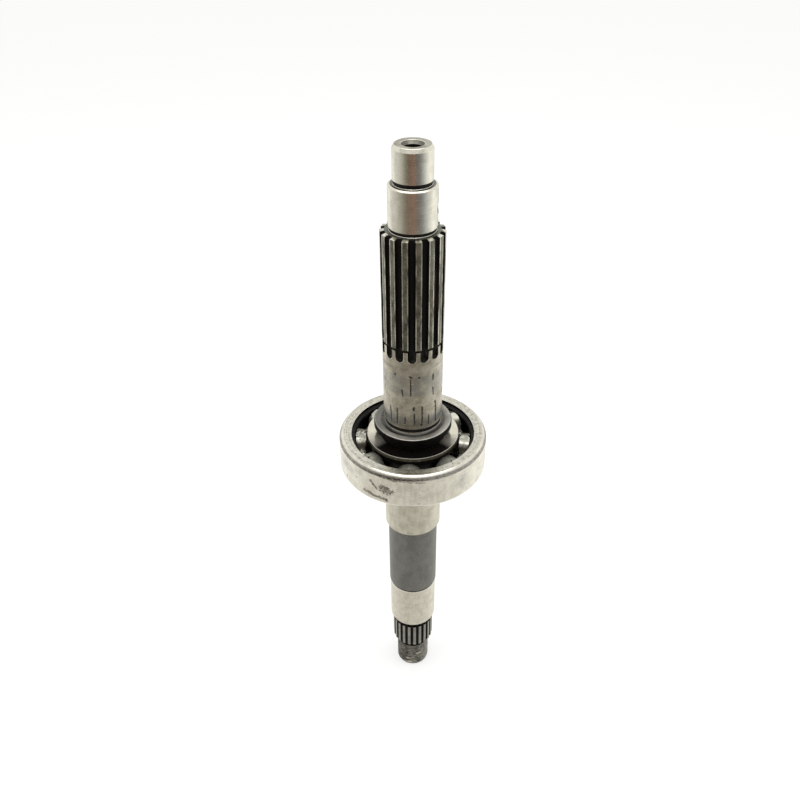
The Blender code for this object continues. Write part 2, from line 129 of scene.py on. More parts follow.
# Collar, with a fillet at the journal's relief, as (outwards, up, finish), a shallow ring in its face, and
# the painted highlight and the painted shade on its rounded edge, as (start, end, steps)
COLLAR_RELIEF_RADIUS = 13.4
# A painted highlight lines the fillet's middle stretch
COLLAR_FILLET = (
    (0.0, 0.95, "relief"), (0.05, 0.6, "relief"), (0.2, 0.15, "collar_rim"), (0.4, 0.0, "collar"),
)
COLLAR_RING_RADII, COLLAR_RING_DEPTH = (13.95, 15.35, 15.6), 0.12
COLLAR_RADIUS, COLLAR_TOP, COLLAR_EDGE = 18.8, 7.83, 0.9
COLLAR_EDGE_HIGHLIGHT, COLLAR_EDGE_SHADE = (90.0, 54.0, 2), (36.0, 0.0, 2)
COLLAR_UNDERSIDE, COLLAR_UNDER_EDGE = 4.5, 0.3
COLLAR_NECK_RADIUS, COLLAR_NECK_FOOT = 16.1, 0.03

# Sections below the bearing
SEAT_RADIUS, SEAT_TAPER = 14.97, 0.4
LAND_RADIUS, LAND_TOP, LAND_CHAMFER = 14.25, -20.5, 0.9
UNGROUND_RADIUS, UNGROUND_TOP = 12.8, -58.4
LOWER_RADIUS, LOWER_TOP, LOWER_FOOT, LOWER_CHAMFER = 12.45, -101.8, -130.9, 0.6
# Under the step to the lower journal: a band of painted shade in the dark relief finish, then a band of
# painted highlight in the bright rim finish
LOWER_SHADE, LOWER_HIGHLIGHT = 1.1, 0.8
FINE = Spline(
    teeth=22, turn=-2.9, radius=11.25, half=0.82, floor_half=0.65, depth=1.15, rounding=0.12, arc_steps=2,
    top_steps=4)
FINE_RELIEF_RADIUS, FINE_TOP, FINE_FOOT = 10.0, -134.2, -150.3
FINE_EDGE, FINE_CHAMFER = 0.15, 1.05
NECK_RADIUS = 8.1

# Thread at the lower end, with its worn patches as (turn, height, spread in degrees, reach)
THREAD_RADIUS, THREAD_TOP = 9.0, -153.6
THREAD_PITCH, THREAD_DEPTH, THREAD_CHAMFER = 1.5, 0.92, (0.7, 1.0)
THREAD_CREST_SHARE, THREAD_ROOT_SHARE = 0.16, 0.12
THREAD_FLATTENING, THREAD_NICKS = 0.38, 0.05
WORN_PATCHES = (
    (-18.0, -165.4, 14.0, 0.9), (-16.0, -168.6, 20.0, 1.1),
    (9.0, -167.8, 9.0, 0.9), (22.0, -161.2, 13.0, 0.7),
)

# Bearing
RING_CORNER, RING_CORNER_BEND, RING_EDGE = 2.0, 20.0, 0.15
RECESS_RADIUS, RECESS_DEPTH = 30.0, 1.6
OUTER_SHOULDER_RADIUS, OUTER_SHOULDER_DROP = 28.5, 2.2
INNER_SHOULDER_RADIUS, LIT_SHOULDER = 22.3, 1.9
INNER_BORE_RADIUS, INNER_CORNER, INNER_EDGE = 15.0, 1.0, 0.2
BALL_COUNT, BALL_RADIUS, BALL_CIRCLE, FRONT_BALL_TURN = 8, 6.15, 25.5, -4.0
BALL_PIT_DEPTH = 0.05
RACE_RADIUS, RACE_CLEARANCE = 6.4, 0.25
CAGE_POCKET_RADIUS, CAGE_THICKNESS, CAGE_HALF_GAP = 6.45, 1.0, 0.02
CAGE_WIDTH, CAGE_FLAT_SHARE = 5.3, 0.62
CAGE_BEND, CAGE_FOLD = 0.3, 0.35
CAGE_EDGE, CAGE_EDGE_STEPS = 0.22, 5
RIVET_SHANK_RADIUS, RIVET_HEAD_RADIUS, RIVET_HEAD_HEIGHT = 0.9, 1.6, 0.72

# Mesh fineness
BORE_COLUMNS, THREAD_COLUMNS, RIVET_COLUMNS = 72, 96, 24
OUTER_COLUMNS, INNER_COLUMNS = 565, 240
THREAD_ROW, MARKED_ROW, FACE_ROW = 0.125, 0.4, 0.45
RACE_STEPS, POCKET_STEPS, FLAT_STEPS, RIVET_STEPS = 12, 26, 5, 6
UPPER_CORNER_STEPS, LOWER_CORNER_STEPS = 12, 8
OIL_HOLE_COLUMNS = 48
BALL_SUBDIVISIONS = 5
SHARP_ANGLE, EASED_CORNER, MERGE_DISTANCE = 24.0, 0.12, 1e-7


def tone(red, green, blue):
    """A colour written as it looks on screen (0 to 255), as the linear colour that nodes take."""
    shares = (red / 255, green / 255, blue / 255)
    return tuple(((c + 0.055) / 1.055) ** 2.4 if c > 10 / 255 else c / 12.92 for c in shares)


class Value:
    """A node's output, which + - * / join to another one or to a number."""

    def __init__(self, nodes, socket):
        self.nodes = nodes
        self.socket = socket

    def __add__(self, other):
        return self.nodes.math("ADD", self, other)

    def __sub__(self, other):
        return self.nodes.math("SUBTRACT", self, other)

    def __rsub__(self, other):
        return self.nodes.math("SUBTRACT", other, self)

    def __mul__(self, other):
        return self.nodes.math("MULTIPLY", self, other)

    def __truediv__(self, other):
        return self.nodes.math("DIVIDE", self, other)


class Nodes:
    """The nodes of a material or of the world, with short calls for making them."""

    def __init__(self, owner):
        owner.use_nodes = True
        self.tree = owner.node_tree

    def put(self, socket, value):
        if isinstance(value, Value):
            self.tree.links.new(value.socket, socket)
        elif socket.type == "RGBA":
            socket.default_value = (*value, 1.0)
        else:
            socket.default_value = value

    def node(self, kind, inputs=None, output=0, **settings):
        """One output of a new node, whose inputs are given by name or number."""
        made = self.tree.nodes.new("ShaderNode" + kind)
        for key, value in settings.items():
            setattr(made, key, value)
        for key, value in (inputs or {}).items():
            self.put(made.inputs[key], value)
        return Value(self, made.outputs[output])

    def math(self, operation, a, b=0.0):
        return self.node("Math", {0: a, 1: b}, operation=operation)

    def distance(self, x, y):
        return self.math("SQRT", x * x + y * y)

    def most(self, a, b):
        return self.math("MAXIMUM", a, b)

    def ramp(self, value, low, high, start=0.0, end=1.0):
        """Start below low, end above high, and smoothly between them."""
        inputs = dict(enumerate((value, low, high, start, end)))
        return self.node("MapRange", inputs, interpolation_type="SMOOTHSTEP")

    def mix(self, share, a, b):
        return self.node("Mix", {"Factor": share, 6: a, 7: b}, 2, data_type="RGBA")

    def split(self, vector):
        split = self.tree.nodes.new("ShaderNodeSeparateXYZ")
        self.put(split.inputs[0], vector)
        return [Value(self, output) for output in split.outputs]


class Finish(Nodes):
    """A procedural metal finish."""

    def __init__(self, name):
        self.material = bpy.data.materials.new(name)
        super().__init__(self.material)
        self.shader = self.tree.nodes["Principled BSDF"]
        self.place = self.node("TexCoord", output="Object")
        self.millimetres = self.node("VectorMath", {0: self.place, "Scale": 1 / MM}, operation="SCALE")

    def noise(self, size, detail=2.0, roughness=0.5, tall=1.0, shift=0.0):
        """Noise whose features are about size millimetres across, and tall times as high."""
        scale = (1 / size, 1 / size, 1 / (size * tall))
        place = self.node("Mapping", {"Vector": self.millimetres, "Scale": scale, "Location": (shift,) * 3})
        inputs = {"Vector": place, "Scale": 1.0, "Detail": detail, "Roughness": roughness}
        return self.node("TexNoise", inputs, "Fac", noise_dimensions="3D")

    def turned_lines(self, spacing, breaks=1.5):
        """Fine lines round the axis, on faces that point sideways, upwards or between."""
        x, y, z = self.split(self.millimetres)
        radius = self.distance(x, y)
        joined = self.node("CombineXYZ", {0: x / radius * breaks, 1: y / radius * breaks, 2: z / spacing})
        inputs = {"Vector": joined, "W": radius / spacing, "Scale": 1.0, "Detail": 2.0}
        return self.node("TexNoise", inputs, "Fac", noise_dimensions="4D")

    def attribute(self, name):
        return self.node("Attribute", output="Fac", attribute_name=name)

    def metal(self, colour, roughness, metallic, height, depth):
        """Joins the shader's inputs, with a bump of the given depth in millimetres."""
        normal = self.node("Bump", {"Distance": depth * MM, "Height": height})
        inputs = {"Base Color": colour, "Roughness": roughness, "Metallic": metallic, "Normal": normal}
        for name, value in inputs.items():
            self.put(self.shader.inputs[name], value)
        return self.material

    def show(self, shader):
        self.put(self.tree.nodes["Material Output"].inputs[0], shader)


# Paint colours: black for dirt and for painted shade, brown for rust and for a painted dark reflection, grey
# for a film and for painted reflections
RUST_AND_REFLECTION_BROWN = tone(78, 46, 30)
DIRT_AND_SHADE_BLACK = tone(16, 14, 12)
GREY_FILM_AND_REFLECTION = tone(150, 151, 152)
RUBBED_BRIGHT = tone(196, 193, 182)


def worked_steel(
    name, light, dark, roughness, mottle=5.0, spacing=0.35, line_share=0.35, specks=0.3, bump=0.003,
):
    """Ground or turned steel: lines round the axis, cloudy tone, small specks, and painted stains, shade and
    reflections.
    """
    made = Finish(name)
    lines = made.turned_lines(spacing)
    cloud = made.noise(mottle, detail=5.0, roughness=0.62)
    smear = made.noise(mottle * 0.35, detail=3.0, tall=4.0, shift=4.0)
    tint = made.ramp(lines, 0.3, 0.7) * line_share + made.ramp(cloud, 0.32, 0.62) * (1 - line_share)
    colour = made.mix(made.ramp(smear, 0.55, 0.75, 0.0, 0.3), made.mix(tint, dark, light), dark)
    speckled = made.ramp(made.noise(mottle * 1.7, shift=2.0), 0.42, 0.62)
    grains = made.ramp(made.noise(0.5, shift=9.0), 0.66, 0.73) * speckled * specks
    colour = made.mix(made.attribute("blue"), made.mix(grains, colour, RUST_AND_REFLECTION_BROWN), GREY_FILM_AND_REFLECTION)
    stained = made.ramp(made.noise(0.7, detail=5.0, roughness=0.65, shift=1.0), 0.42, 0.54, 0.3, 1.0)
    brown = made.attribute("brown") * stained
    black = made.attribute("black")
    colour = made.mix(black, made.mix(brown * 0.95, colour, RUST_AND_REFLECTION_BROWN), DIRT_AND_SHADE_BLACK)
    grit = made.most(brown * 0.7, grains)
    dirt = made.most(grit, black)
    rough = made.ramp(smear, 0.35, 0.7, roughness * 0.8, roughness * 1.25)
    rough = rough + made.ramp(lines, 0.35, 0.65) * (roughness * 0.3) + grit * 0.35
    return made.metal(colour, rough, 1.0 - dirt * 0.9, lines - dirt * 0.6, bump)


def dark_satin(name, light, dark, roughness, patch=6.0, rubbed=0.5):
    """Scaled or oxidised steel, satin and dark, with cloudy patches and rubbed bright specks."""
    made = Finish(name)
    cloud = made.noise(patch, detail=5.0, roughness=0.6, tall=1.6)
    grain = made.noise(0.7, detail=3.0, roughness=0.7, shift=5.0)
    lines = made.turned_lines(0.9, breaks=1.0)
    tint = made.ramp(cloud, 0.32, 0.7) * 0.6 + made.ramp(grain, 0.35, 0.7) * 0.4
    rub = made.ramp(made.noise(0.9, detail=3.0, tall=2.2, shift=7.0), 0.66, 0.78, 0.0, rubbed)
    colour = made.mix(rub, made.mix(tint, dark, light), RUBBED_BRIGHT)
    # Its black paint is painted shade, on the collar's sides
    colour = made.mix(made.attribute("black") * 0.9, colour, DIRT_AND_SHADE_BLACK)
    rough = made.ramp(cloud, 0.3, 0.7, roughness - 0.06, roughness + 0.08) + grain * 0.08
    return made.metal(colour, rough, 0.85, grain * 0.7 + lines * 0.5, 0.010)


def recess_finish(name, colour, light, roughness):
    """The floor of a gap, relief or other hollow, near black as painted shade, a little lighter in cloudy
    patches and rusty where painted.
    """
    made = Finish(name)
    cloud = made.noise(2.2, detail=4.0, tall=2.5)
    grit = made.noise(0.5, shift=3.0)
    tint = made.ramp(cloud, 0.5, 0.75) * made.ramp(grit, 0.35, 0.7, 0.4, 1.0)
    tinted = made.mix(made.attribute("brown") * 0.8, made.mix(tint, colour, light), RUST_AND_REFLECTION_BROWN)
    made.shader.inputs["Specular IOR Level"].default_value = 0.18
    return made.metal(tinted, made.ramp(cloud, 0.3, 0.7, roughness, roughness + 0.2), tint * 0.7, grit, 0.02)


def tooth_edge_steel():
    """The teeth's edges and ends, rubbed bright in long streaks."""
    made = Finish("tooth_edge_steel")
    streaks = made.noise(2.2, detail=4.0, tall=3.5, shift=2.0)
    grain = made.noise(0.5, shift=6.0)
    tint = made.ramp(streaks, 0.34, 0.60) * made.ramp(grain, 0.25, 0.6, 0.6, 1.0)
    colour = made.mix(tint, tone(112, 111, 99), tone(240, 237, 224))
    return made.metal(colour, made.ramp(streaks, 0.3, 0.7, 0.34, 0.24), 1.0, grain, 0.006)


def thread_steel():
    """Dark thread, bright where worn and where a highlight is painted on the crests, and near black where
    shade is painted at the root.
    """
    made = Finish("thread_steel")
    cloud = made.noise(2.5, detail=4.0)
    grain = made.noise(0.6, detail=3.0, shift=5.0)
    tint = made.ramp(cloud, 0.3, 0.7) * made.ramp(grain, 0.3, 0.7, 0.4, 1.0)
    colour = made.mix(tint, tone(54, 53, 49), tone(142, 140, 131))
    # The worn paint holds wear and a painted highlight on the crests; the black paint is painted shade at the
    # thread's root
    bright = made.attribute("worn") * made.ramp(grain, 0.3, 0.6, 0.5, 1.0)
    colour = made.mix(made.attribute("black"), made.mix(bright, colour, tone(226, 222, 210)), DIRT_AND_SHADE_BLACK)
    return made.metal(colour, made.ramp(grain, 0.3, 0.7, 0.30, 0.46), 0.9, grain, 0.02)


def cage_steel():
    """Pressed sheet, rubbed bright, with dark rust speckles, a cloudy film, and painted shade in dim grey and
    dark grey.
    """
    made = Finish("cage_sheet")
    spots = made.ramp(made.noise(0.8, detail=3.0, roughness=0.6), 0.54, 0.60) * made.attribute("brown")
    film = made.ramp(made.noise(3.0, detail=4.0, shift=2.0), 0.38, 0.66)
    painted_shade = made.attribute("blue")
    colour = made.mix(film, tone(222, 220, 208), tone(172, 170, 158))
    colour = made.mix(spots * 0.9, colour, tone(50, 34, 26))
    # Painted shade: dim grey where painted blue, dark grey where painted black
    colour = made.mix(painted_shade, colour, tone(92, 91, 80))
    colour = made.mix(made.attribute("black"), colour, tone(52, 51, 45))
    rough = made.ramp(film, 0.0, 1.0, 0.20, 0.32) + spots * 0.4
    return made.metal(colour, rough, 1.0 - made.most(spots, painted_shade), spots, -0.03)


def ball_steel():
    """Polished balls with dark rust speckles and a dulling oily film."""
    made = Finish("ball_steel")
    pits = made.ramp(made.noise(0.55, detail=3.0, roughness=0.6), 0.56, 0.64)
    spots = pits * made.ramp(made.noise(3.4, detail=3.0, shift=6.0), 0.40, 0.58)
    film = made.ramp(made.noise(2.0, detail=4.0, shift=2.0), 0.35, 0.7)
    colour = made.mix(film, tone(232, 230, 218), tone(178, 176, 162))
    colour = made.mix(spots * 0.85, colour, tone(58, 36, 26))
    rough = made.ramp(film, 0.0, 1.0, 0.08, 0.20) + spots * 0.4
    return made.metal(colour, rough, 1.0 - spots * 0.8, spots, -0.02)


# Tones in light and in dark patches, roughness, and what else is set
CREAM, CREAM_SHADE = (238, 235, 223), (212, 208, 194)
WORKED_STEELS = {
    "upper_journal": (CREAM, CREAM_SHADE, 0.19, {"mottle": 4.0, "specks": 0.5}),
    "end_face": ((190, 186, 173), (132, 128, 117), 0.34, {"specks": 0.4}),
    "countersink": ((134, 131, 122), (92, 90, 83), 0.36, {}),
    "long_journal": ((206, 201, 186), (152, 146, 132), 0.24, {"mottle": 4.5}),
    "rim": (CREAM, CREAM_SHADE, 0.24, {"specks": 0.2}),
    "land": ((224, 220, 206), (190, 185, 170), 0.28, {"specks": 0.4}),
    "lower_journal": ((232, 228, 215), (202, 197, 184), 0.28, {"mottle": 3.5, "specks": 0.6}),
    "ring": ((250, 247, 236), (224, 220, 208), 0.25, {"mottle": 4.5, "line_share": 0.2, "specks": 0.9}),
    "ring_corner": ((240, 236, 224), (206, 202, 190), 0.16, {"specks": 0.5}),
    "ring_face": ((230, 227, 215), (158, 156, 146), 0.27, {"mottle": 1.6, "line_share": 0.45, "specks": 0.8}),
    "inner_face": ((232, 227, 212), (206, 200, 186), 0.16, {"spacing": 0.8, "specks": 0.15, "bump": 0.0}),
    "cage_edge": ((226, 223, 211), (150, 147, 138), 0.28, {}),
}
DARK_SATINS = {
    "shoulder": ((152, 149, 138), (76, 74, 68), 0.36, {"patch": 2.5}),
    "spline_face": ((144, 145, 132), (88, 90, 82), 0.38, {"patch": 2.5}),
    "tooth": ((146, 145, 129), (74, 74, 65), 0.32, {"patch": 3.0, "rubbed": 0.7}),
    "collar": ((112, 111, 106), (74, 73, 69), 0.30, {"patch": 9.0, "rubbed": 0.1}),
    "collar_side": ((34, 32, 29), (15, 14, 13), 0.42, {"rubbed": 0.1}),
    # A painted highlight: the bright tone of the fillet's line, the face's outer band and the upper part of
    # the rounded edge
    "collar_rim": ((204, 202, 194), (154, 152, 145), 0.38, {"rubbed": 0.2}),
    "unground": ((142, 141, 137), (106, 105, 101), 0.40, {"patch": 5.0, "rubbed": 0.25}),
    "fine_tooth": ((172, 171, 163), (124, 123, 117), 0.34, {"patch": 2.0}),
}
# Tones of the hollows, near black as painted shade, and of their lighter patches, and roughness;
# inner_shoulder is the lit top of the inner ring's shoulder
RECESS_FINISHES = {
    "relief": ((20, 18, 16), (52, 50, 45), 0.42, {}),
    "gap": ((10, 9, 8), (26, 24, 20), 0.45, {}),
    "run_out": ((14, 13, 11), (74, 72, 64), 0.40, {}),
    "collar_neck": ((6, 5, 5), (14, 13, 11), 0.55, {}),
    "fine_gap": ((14, 13, 12), (48, 45, 40), 0.5, {}),
    "bore": ((12, 10, 9), (30, 26, 22), 0.4, {}),
    "inner_shoulder": ((76, 70, 58), (138, 131, 114), 0.30, {}),
    "race": ((10, 9, 8), (28, 25, 21), 0.34, {}),
}
DARK_FINISHES = {"relief", "collar_side", "collar_neck"}


def make_finishes():
    """Every material of the object, by the short name that the meshes call it by."""
    made = {"tooth_edge": tooth_edge_steel(), "thread": thread_steel()}
    made |= {"cage": cage_steel(), "ball": ball_steel()}
    kinds = ((worked_steel, WORKED_STEELS), (dark_satin, DARK_SATINS), (recess_finish, RECESS_FINISHES))
    for make, table in kinds:
        for name, (first, second, roughness, more) in table.items():
            made[name] = make(f"{name}_{make.__name__}", tone(*first), tone(*second), roughness, **more)
    return made


FINISHES = make_finishes()


def point(radius, turn, height):
    """A point in the frame, in metres, from a radius and a height in millimetres and a turn."""
    angle = radians(turn - 90.0)
    return (radius * MM * cos(angle), radius * MM * sin(angle), BEARING_TOP + height * MM)


def circle(radius, height, columns, start=0.0):
    return [point(radius, start + 360.0 * index / columns, height) for index in range(columns)]


def add(name, data):
    made = bpy.data.objects.new(name, data)
    bpy.context.scene.collection.objects.link(made)
    return made


def add_mesh(name, bm, finishes):
    mesh = bpy.data.meshes.new(name)
    bm.to_mesh(mesh)
    bm.free()
    for finish in finishes:
        mesh.materials.append(FINISHES[finish])
    mesh.shade_smooth()
    mesh.set_sharp_from_angle(angle=radians(SHARP_ANGLE))
    return add(name, mesh)


class Skin:
    """A mesh made of rings of points, each joined to the one before it, with a finish on each face."""

    def __init__(self):
        self.bm = bmesh.new()
        self.finishes = []
        self.first = None
        self.last = None

    def face(self, verts, finish):
        if finish not in self.finishes:
            self.finishes.append(finish)
        self.bm.faces.new(verts).material_index = self.finishes.index(finish)

    def ring(self, points, finish):
        """Joins a new ring to the last one. The finish is one name, or a pattern of names round it."""
        verts = [self.bm.verts.new(p) for p in points]
        pattern = [finish] if isinstance(finish, str) else finish
        if self.last and len(self.last) == len(verts):
            self.join(self.last, verts, pattern)
        elif self.last:
            self.zip(self.last, verts, pattern[0])
        self.first = self.first or verts
        self.last = verts

    def turned(self, outline, columns, start=0.0):
        """Round rings through an outline of (radius, height, finish)."""
        for radius, height, finish in outline:
            self.ring(circle(radius, height, columns, start), finish)

    def close(self, pattern):
        self.join(self.last, self.first, pattern)

    def join(self, upper, lower, pattern):
        for a in range(len(upper)):
            b = (a + 1) % len(upper)
            self.face((upper[a], upper[b], lower[b], lower[a]), pattern[a % len(pattern)])

    def zip(self, upper, lower, finish):
        """Triangles between two rings with unlike numbers of points, each counted from its own start."""
        turns = [self.turned_past(ring) for ring in (upper, lower)]
        a = b = 0
        while a < len(upper) or b < len(lower):
            here, there = upper[a % len(upper)], lower[b % len(lower)]
            if b == len(lower) or (a < len(upper) and turns[0][a + 1] <= turns[1][b + 1]):
                a += 1
                self.face((here, upper[a % len(upper)], there), finish)
            else:
                b += 1
                self.face((here, lower[b % len(lower)], there), finish)

    def turned_past(self, ring):
        slack = 1e-6
        start = atan2(ring[0].co.y, ring[0].co.x) - slack
        return [(atan2(v.co.y, v.co.x) - start) % tau for v in ring] + [tau]

    def cap(self, place, finish):
        """Closes the last ring with a fan to a point."""
        centre = self.bm.verts.new(place)
        for a in range(len(self.last)):
            self.face((self.last[a], self.last[(a + 1) % len(self.last)], centre), finish)

    def build(self, name):
        bmesh.ops.remove_doubles(self.bm, verts=self.bm.verts, dist=MERGE_DISTANCE)
        bmesh.ops.recalc_face_normals(self.bm, faces=self.bm.faces)
        return add_mesh(name, self.bm, self.finishes)


def dress(piece, body, node):
    """Puts the piece on the body that it rides on, and hides the CAD node that it stands for."""
    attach(piece, body)
    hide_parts(node)


def eased(outline):
    """An outline of (radius, height, finish) with each corner cut back a little, so that it catches light."""
    made = [outline[0]]
    for before, corner, after in zip(outline, outline[1:], outline[2:]):
        here = Vector(corner[:2])
        back, ahead = Vector(before[:2]) - here, Vector(after[:2]) - here
        if min(back.length, ahead.length) < EASED_CORNER * 2.5:
            made.append(corner)
            continue
        # A blunt corner is shaded smoothly, so a line beside it keeps the bend in the shading narrow.
        blunt = degrees((-back).angle(ahead)) / 2 < SHARP_ANGLE
        rubbed = corner[2] if {corner[2], after[2]} <= DARK_FINISHES else "rim"
        places = [(back, 1.0, corner[2]), (ahead, 1.0, rubbed)]
        if blunt:
            places = [(back, 2.0, corner[2])] + places + [(ahead, 2.0, after[2])]
        for way, share, finish in places:
            place = here + way.normalized() * EASED_CORNER * share
            made.append((place.x, place.y, finish))
    return made + [outline[-1]]


def rows(outline, finish, row):
    """The outline with each stretch that has this finish split into rows."""
    made = [outline[0]]
    for before, after in zip(outline, outline[1:]):
        steps = max(1, round(dist(before[:2], after[:2]) / row)) if after[2] == finish else 1
        for step in range(1, steps + 1):
            share = step / steps
            radius = before[0] + (after[0] - before[0]) * share
            height = before[1] + (after[1] - before[1]) * share
            made.append((radius, height, after[2]))
    return made


def arc(centre_radius, centre_height, radius, start, end, steps, finish):
    """Points of a round stretch, with angles from outwards (0) to upwards (90)."""
    angles = [radians(start + (end - start) * step / steps) for step in range(steps + 1)]
    return [(centre_radius + radius * cos(a), centre_height + radius * sin(a), finish) for a in angles]


def run_out_ring(height):
    """A ring through the round-ended slots that the spline cutter left below the snap-ring groove."""
    reach = RUN_OUT.half
    rise = min(height - RUN_OUT_FOOT, reach)
    share = max(sqrt(reach ** 2 - (reach - rise) ** 2), 0.01) / reach
    slot = {key: getattr(RUN_OUT, key) * share for key in ("half", "floor_half", "depth", "rounding")}
    return RUN_OUT._replace(**slot).ring(height, LONG_RADIUS)


def build_spline(skin):
    """The coarse spline, its groove and its run-outs, going down."""
    face = COARSE.pattern("gap", "spline_face", "spline_face")
    bevel = COARSE.pattern("gap", "tooth_edge", "tooth_edge")
    teeth = COARSE.pattern("gap", "tooth_edge", "tooth")
    groove = COARSE.pattern("run_out", "relief", "relief")
    slots = COARSE.pattern("run_out", "tooth_edge", "long_journal")
    inset, drop = SPLINE_BEVEL
    skin.ring(COARSE.ring(SPLINE_TOP, COARSE.radius - inset), face)
    length = SPLINE_TOP - drop - SPLINE_FOOT
    for row in range(SPLINE_ROWS + 1):
        height = SPLINE_TOP - drop - length * row / SPLINE_ROWS
        skin.ring(COARSE.ring(height, COARSE.radius), teeth if row else bevel)
    middle = (SPLINE_FOOT + SNAP_GROOVE_FOOT) / 2
    for height in (SPLINE_FOOT, middle):
        skin.ring(COARSE.ring(height, SNAP_GROOVE_RADIUS), groove)
    for height in (middle - SNAP_GROOVE_STEP, SNAP_GROOVE_FOOT):
        skin.ring(RUN_OUT.ring(height, SNAP_GROOVE_RADIUS), groove)
    rounding = RUN_OUT_FOOT + RUN_OUT.half
    turns = [pi / 2 * row / RUN_OUT_ROWS for row in range(RUN_OUT_ROWS + 1)]
    heights = [SNAP_GROOVE_FOOT, (SNAP_GROOVE_FOOT + rounding) / 2]
    for height in heights + [rounding - RUN_OUT.half * sin(t) for t in turns]:
        skin.ring(run_out_ring(height), slots)


def build_shaft():
    """The whole shaft as one skin, from the floor of its bore up, over and down to the thread's end."""
    skin = Skin()
    floor = SHAFT_TOP - BORE_DEPTH
    skin.ring(circle(BORE_RADIUS, floor, BORE_COLUMNS), "bore")
    skin.cap(point(0.0, 0.0, floor - BORE_RADIUS * BORE_POINT_SHARE), "bore")
    mouth = [(BORE_RADIUS, SHAFT_TOP - COUNTERSINK_DEPTH, "bore")]
    mouth += [(COUNTERSINK_RADIUS + out, SHAFT_TOP + up, finish) for out, up, finish in COUNTERSINK_RIM]
    skin.turned(mouth, BORE_COLUMNS)
    skin.turned(eased(upper_outline())[1:], COARSE.columns(), COARSE.turn)
    build_spline(skin)
    lower = rows(eased(lower_outline()), "long_journal", MARKED_ROW)
    skin.turned(lower[1:], COARSE.columns(), COARSE.turn)
    build_fine_spline(skin)
    build_thread(skin)
    return skin.build("machined_shaft")


def upper_outline():
    """The outline from the top face down to the spline's top face. The first point isn't used."""
    inset, drop = UPPER_CHAMFER
    middle_inset, middle_drop = MIDDLE_CHAMFER
    return [
        (COUNTERSINK_RADIUS, SHAFT_TOP, "end_face"),
        (UPPER_RADIUS - inset, SHAFT_TOP, "end_face"),
        (UPPER_RADIUS, SHAFT_TOP - drop, "rim"),
        (UPPER_RADIUS, UPPER_RELIEF_TOP, "upper_journal"),
        (UPPER_RELIEF_RADIUS, UPPER_RELIEF_TOP, "relief"),
        (UPPER_RELIEF_RADIUS, MIDDLE_TOP, "relief"),
        (MIDDLE_RADIUS - middle_inset, MIDDLE_TOP, "shoulder"),
        (MIDDLE_RADIUS, MIDDLE_TOP - middle_drop, "rim"),
        (MIDDLE_RADIUS, MIDDLE_RELIEF_TOP, "upper_journal"),
        (MIDDLE_RELIEF_RADIUS, MIDDLE_RELIEF_TOP, "relief"),
        (MIDDLE_RELIEF_RADIUS, SPLINE_TOP, "relief"),
        (COARSE.radius - SPLINE_BEVEL[0] - SPLINE_FACE_EDGE, SPLINE_TOP, "spline_face"),
    ]


def lower_outline():
    """The outline from the run-outs' feet down to the relief above the fine spline."""
    edge_place = (COLLAR_RADIUS - COLLAR_EDGE, COLLAR_TOP - COLLAR_EDGE, COLLAR_EDGE)
    inner_line, outer_line, outer_edge = COLLAR_RING_RADII
    ring_floor = COLLAR_TOP - COLLAR_RING_DEPTH
    return [
        (LONG_RADIUS, RUN_OUT_FOOT, "long_journal"),
        (LONG_RADIUS, LONG_FOOT, "long_journal"),
        (COLLAR_RELIEF_RADIUS, LONG_FOOT, "relief"),
        *[(COLLAR_RELIEF_RADIUS + out, COLLAR_TOP + up, finish) for out, up, finish in COLLAR_FILLET],
        (inner_line, ring_floor, "collar"),
        (outer_line, ring_floor, "collar"),
        # Painted highlight on the face's outer band and the upper part of the rounded edge; painted shade, in
        # the collar_side finish, on its lower part
        (outer_edge, COLLAR_TOP, "collar_rim"),
        *arc(*edge_place, *COLLAR_EDGE_HIGHLIGHT, "collar_rim"),
        *arc(*edge_place, *COLLAR_EDGE_SHADE, "collar_side"),
        (COLLAR_RADIUS, COLLAR_UNDERSIDE + COLLAR_UNDER_EDGE, "collar_side"),
        (COLLAR_RADIUS - COLLAR_UNDER_EDGE, COLLAR_UNDERSIDE, "collar_side"),
        (COLLAR_NECK_RADIUS, COLLAR_UNDERSIDE, "collar_neck"),
        (COLLAR_NECK_RADIUS, COLLAR_NECK_FOOT + COLLAR_UNDER_EDGE, "collar_neck"),
        (COLLAR_NECK_RADIUS - COLLAR_UNDER_EDGE, COLLAR_NECK_FOOT, "collar_neck"),
        (SEAT_RADIUS, COLLAR_NECK_FOOT, "collar_neck"),
        (SEAT_RADIUS, LAND_TOP + SEAT_TAPER, "land"),
        (LAND_RADIUS, LAND_TOP, "land"),
        (LAND_RADIUS, UNGROUND_TOP + LAND_CHAMFER, "land"),
        (LAND_RADIUS - LAND_CHAMFER, UNGROUND_TOP, "rim"),
        (UNGROUND_RADIUS, UNGROUND_TOP, "unground"),
        (UNGROUND_RADIUS, LOWER_TOP, "unground"),
        (LOWER_RADIUS, LOWER_TOP, "relief"),
        # Painted shade, then a painted highlight, on the lower journal below the step
        (LOWER_RADIUS, LOWER_TOP - LOWER_SHADE, "relief"),
        (LOWER_RADIUS, LOWER_TOP - LOWER_SHADE - LOWER_HIGHLIGHT, "rim"),
        (LOWER_RADIUS, LOWER_FOOT + LOWER_CHAMFER, "lower_journal"),
        (LOWER_RADIUS - LOWER_CHAMFER, LOWER_FOOT, "rim"),
        (FINE.radius, LOWER_FOOT, "lower_journal"),
    ]


